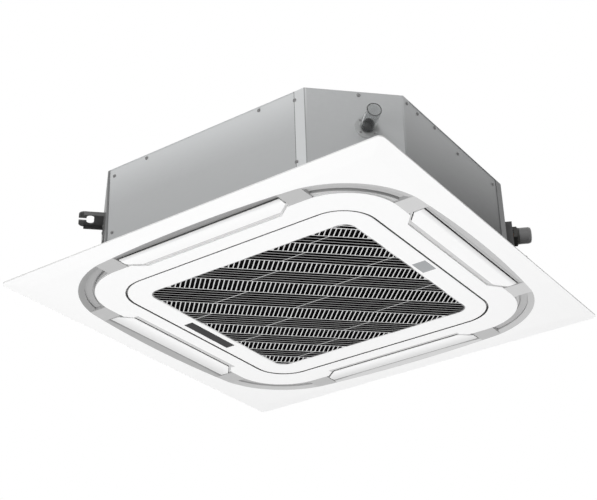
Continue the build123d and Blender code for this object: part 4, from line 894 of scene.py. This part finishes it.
class CASSETTE_OT_drain(CassetteOperator, bpy.types.Operator):
    """Finishes the drain's parts, and makes its clear tube and the dark ring inside"""

    bl_idname = "cassette.drain"
    bl_label = "Drain"

    def execute(self, context):
        paint(moulded("pump_black", PUMP_BLACK), "drain_pump")
        paint(moulded("float_blue", FLOAT_BLUE), "float_ring")
        paint(moulded("black_rubber", RUBBER_BLACK, roughness=0.7), "drain_hose", "motor_grommets")
        paint(moulded("flange_grey", FLANGE_GREY), "drain_flange")
        place = self.tube_place()
        self.tube(place)
        self.mouth(place)
        return {"FINISHED"}

    def tube_place(self):
        """The CAD tube's foot, with Z out along the corner's diagonal."""
        outward = Vector((1.0, -1.0, 0.0)).normalized()
        points = [vertex.co for vertex in NODES["drain_stub"].data.vertices]
        middle = sum(points, Vector()) / len(points)
        base = min(point.dot(outward) for point in points)
        return standing(middle + outward * (base - middle.dot(outward)), outward)

    def tube(self, place):
        build = bmesh.new()
        lathe(build, place, [
            (TUBE_RADIUS, 0.0), (TUBE_RADIUS, TUBE_LENGTH - TUBE_ROUND),
            (TUBE_RADIUS - TUBE_ROUND, TUBE_LENGTH), (TUBE_BORE + TUBE_ROUND, TUBE_LENGTH),
            (TUBE_BORE, TUBE_LENGTH - TUBE_ROUND), (TUBE_BORE, TUBE_FLOOR)], steps=40)
        clear = clear_tube("clear_tube", self.looks.tube)
        new_piece("drain_tube", build, clear, "unit", ("drain_stub",))

    def mouth(self, place):
        build = bmesh.new()
        inner = MOUTH_RADIUS - MOUTH_WALL
        lathe(build, place, [
            (MOUTH_RADIUS, MOUTH_START), (MOUTH_RADIUS, MOUTH_LENGTH),
            (inner, MOUTH_LENGTH), (inner, MOUTH_FLOOR)], steps=32)
        dark = moulded("drain_mouth_black", MOUTH_BLACK)
        new_piece("drain_mouth", build, dark, "unit")


class CASSETTE_OT_pipes(CassetteOperator, bpy.types.Operator):
    """Finishes the coil and the refrigerant pipes"""

    bl_idname = "cassette.pipes"
    bl_label = "Coil and pipes"

    def execute(self, context):
        looks = self.looks
        paint(ribbed("coil_fins", FIN_SILVER, FIN_PITCH, roughness=0.4, metallic=0.8),
              "heat_exchanger")
        paint(worn_metal("copper_tube", looks.copper, roughness=0.35, metallic=0.9),
              "return_bends", "gas_pipe", "liquid_pipe")
        paint(worn_metal("dull_brass", looks.dull_brass, roughness=0.4, metallic=0.6), "flare_nuts")
        paint(moulded("cap_grey", looks.cap_grey, roughness=0.38), "pipe_caps")
        return {"FINISHED"}


class CASSETTE_OT_fan(CassetteOperator, bpy.types.Operator):
    """Finishes the fan, its motor, the inlet and the circuit boards"""

    bl_idname = "cassette.fan"
    bl_label = "Fan and controls"

    def execute(self, context):
        paint(moulded("fan_grey", FAN_GREY, roughness=0.5), "turbo_fan", "bell_mouth")
        paint(worn_metal("motor_steel", MOTOR_STEEL, roughness=0.45, metallic=0.5), "fan_motor")
        paint(worn_metal("shaft_steel", SHAFT_STEEL, roughness=0.3, metallic=0.95, scale=300.0),
              "fan_shaft", "fan_nut", "hinge_pins")
        paint(circuit_board("board_green", BOARD_GREEN), "control_board", "receiver_board")
        return {"FINISHED"}


class CASSETTE_OT_panel(CassetteOperator, bpy.types.Operator):
    """Finishes the panel's white border, grey ring and centre frame, and what is fixed to them"""

    bl_idname = "cassette.panel"
    bl_label = "Panel"

    def execute(self, context):
        looks = self.looks
        paint(moulded("panel_white", looks.panel_white, roughness=0.38, drift=0.006, coat=0.1),
              "panel_border")
        paint(moulded("frame_white", looks.panel_white, roughness=0.38, drift=0.006, coat=0.1,
                      marks=coloured(FRAME_MARKS, looks)), "centre_frame")
        paint(moulded("ring_grey", looks.ring_grey, roughness=0.5, drift=0.02,
                      marks=coloured(RING_MARKS, looks)), "outlet_ring")
        paint(moulded("catch_black", CATCH_BLACK), "catch_bodies", "louvre_motors")
        return {"FINISHED"}


class CASSETTE_OT_louvres(CassetteOperator, bpy.types.Operator):
    """Finishes the four louvres and their bushes"""

    bl_idname = "cassette.louvres"
    bl_label = "Louvres"

    def execute(self, context):
        looks = self.looks
        paint(moulded("louvre_white", looks.panel_white, roughness=0.36, drift=0.008,
                      marks=coloured(LOUVRE_MARKS, looks)),
              "louvre_front", "louvre_right", "louvre_back", "louvre_left", "louvre_bushes")
        return {"FINISHED"}


class CASSETTE_OT_grille(CassetteOperator, bpy.types.Operator):
    """Finishes the intake grille and what it carries"""

    bl_idname = "cassette.grille"
    bl_label = "Intake grille"

    def execute(self, context):
        looks = self.looks
        paint(moulded("grille_white", looks.panel_white, roughness=0.38, drift=0.006, coat=0.1,
                      marks=coloured(GRILLE_MARKS, looks)),
              "intake_frame", "catch_plunger_left", "catch_plunger_right")
        paint(moulded("lattice_white", looks.lattice, roughness=0.6, drift=0.01, specular=0.0,
                      marks=coloured(LATTICE_MARKS, looks)), "grille_lattice")
        paint(moulded("filter_frame_black", FILTER_BLACK, roughness=0.6, specular=0.0),
              "filter_frame")
        paint(woven("filter_net", NET_BLACK, NET_PITCH), "filter_mesh")
        paint(moulded("smoked_window", looks.smoked, roughness=0.15, depth=0.00001, specular=0.25),
              "display_window")
        paint(moulded("badge_grey", looks.badge, roughness=0.35), "badge_plate")
        return {"FINISHED"}


# ---------------------------------------------------------------- stage

def add_lamp(name, place, target, size, power):
    """A soft square lamp that looks at a target."""
    data = bpy.data.lights.new(name, "AREA")
    data.shape = "SQUARE"
    data.size = size
    data.energy = power
    lamp = bpy.data.objects.new(name, data)
    lamp.location = place
    lamp.rotation_mode = "QUATERNION"
    lamp.rotation_quaternion = (Vector(target) - Vector(place)).to_track_quat("-Z", "Y")
    bpy.context.scene.collection.objects.link(lamp)


def seen_directly(tree):
    """1 where a ray comes from the camera, a mirror or glass."""
    path = tree.nodes.new("ShaderNodeLightPath")
    total = path.outputs["Is Camera Ray"]
    for name in ("Is Glossy Ray", "Is Transmission Ray"):
        either = tree.nodes.new("ShaderNodeMath")
        either.operation = "MAXIMUM"
        tree.links.new(total, either.inputs[0])
        tree.links.new(path.outputs[name], either.inputs[1])
        total = either.outputs[0]
    return total


class CASSETTE_OT_stage(CassetteOperator, bpy.types.Operator):
    """Makes the camera, the floor, the background and the lamps"""

    bl_idname = "cassette.stage"
    bl_label = "Stage"

    def execute(self, context):
        scene = context.scene
        scene.view_settings.view_transform = "Standard"
        self.camera(scene)
        self.background(scene)
        self.floor()
        for name, (place, target, size, setting) in LAMPS.items():
            add_lamp(name, place, target, size, getattr(self.stage, setting))
        return {"FINISHED"}

    def camera(self, scene):
        data = bpy.data.cameras.new("camera")
        data.lens = EYE_LENS
        data.clip_end = EYE_REACH
        camera = bpy.data.objects.new("camera", data)
        turn = Matrix([Vector(axis) for axis in (EYE_RIGHT, EYE_UP, EYE_BACK)]).transposed()
        camera.matrix_world = Matrix.Translation(EYE) @ turn.to_4x4()
        scene.collection.objects.link(camera)
        scene.camera = camera

    def background(self, scene):
        """A world that is white where it is seen directly, and an even light elsewhere."""
        world = bpy.data.worlds.new("studio")
        scene.world = world
        world.use_nodes = True
        tree = world.node_tree
        tree.nodes.clear()
        output = tree.nodes.new("ShaderNodeOutputWorld")
        either = tree.nodes.new("ShaderNodeMixShader")
        soft = tree.nodes.new("ShaderNodeBackground")
        white = tree.nodes.new("ShaderNodeBackground")
        soft.inputs["Strength"].default_value = self.stage.ambient
        for light in (soft, white):
            light.inputs["Color"].default_value = (1.0, 1.0, 1.0, 1.0)
        tree.links.new(seen_directly(tree), either.inputs[0])
        tree.links.new(soft.outputs[0], either.inputs[1])
        tree.links.new(white.outputs[0], either.inputs[2])
        tree.links.new(either.outputs[0], output.inputs["Surface"])

    def floor(self):
        """A wide pale disc, part lit and part plain white where it is seen directly."""
        finish = Finish("floor_pale", FLOOR_PALE, roughness=0.8)
        tree = finish.material.node_tree
        white = tree.nodes.new("ShaderNodeEmission")
        either = tree.nodes.new("ShaderNodeMixShader")
        share = tree.nodes.new("ShaderNodeMath")
        share.operation = "MULTIPLY"
        share.inputs[1].default_value = FLOOR_GLOW
        tree.links.new(seen_directly(tree), share.inputs[0])
        tree.links.new(share.outputs[0], either.inputs[0])
        tree.links.new(finish.shader.outputs["BSDF"], either.inputs[1])
        tree.links.new(white.outputs[0], either.inputs[2])
        tree.links.new(either.outputs[0], finish.output.inputs["Surface"])
        build = bmesh.new()
        bmesh.ops.create_circle(build, cap_ends=True, segments=FLOOR_SIDES, radius=FLOOR_RADIUS,
                                matrix=Matrix.Translation((0, 0, -self.stage.floor_depth)))
        mesh = bpy.data.meshes.new("floor")
        build.to_mesh(mesh)
        build.free()
        mesh.materials.append(finish.material)
        floor = bpy.data.objects.new("floor", mesh)
        bpy.context.scene.collection.objects.link(floor)


# ---------------------------------------------------------------- the add-on

class CASSETTE_PT_looks(bpy.types.Panel):
    """Lists the sizes, the colours and the pieces"""

    bl_label = "Ceiling cassette"
    bl_idname = "CASSETTE_PT_looks"
    bl_space_type = "VIEW_3D"
    bl_region_type = "UI"
    bl_category = "Cassette"

    def draw(self, context):
        layout = self.layout
        for group in (context.scene.cassette_finishes, context.scene.cassette_stage):
            box = layout.box()
            for name in group.bl_rna.properties.keys():
                if name not in ("rna_type", "name"):
                    box.prop(group, name)
        for operator in OPERATORS:
            layout.operator(operator.bl_idname)


OPERATORS = (
    CASSETTE_OT_stage,
    CASSETTE_OT_casing,
    CASSETTE_OT_screws,
    CASSETTE_OT_hangers,
    CASSETTE_OT_drain,
    CASSETTE_OT_pipes,
    CASSETTE_OT_fan,
    CASSETTE_OT_panel,
    CASSETTE_OT_louvres,
    CASSETTE_OT_grille,
)
CLASSES = (CassetteFinishes, CassetteStage) + OPERATORS + (CASSETTE_PT_looks,)


def register():
    for item in CLASSES:
        bpy.utils.register_class(item)
    bpy.types.Scene.cassette_finishes = PointerProperty(type=CassetteFinishes)
    bpy.types.Scene.cassette_stage = PointerProperty(type=CassetteStage)


def unregister():
    del bpy.types.Scene.cassette_stage
    del bpy.types.Scene.cassette_finishes
    for item in reversed(CLASSES):
        bpy.utils.unregister_class(item)


def main():
    """Builds everything in order."""
    register()
    for operator in OPERATORS:
        group, name = operator.bl_idname.split(".")
        if getattr(getattr(bpy.ops, group), name)() != {"FINISHED"}:
            raise RuntimeError(operator.bl_label + " was not finished")


if __name__ == "__main__":
    main()
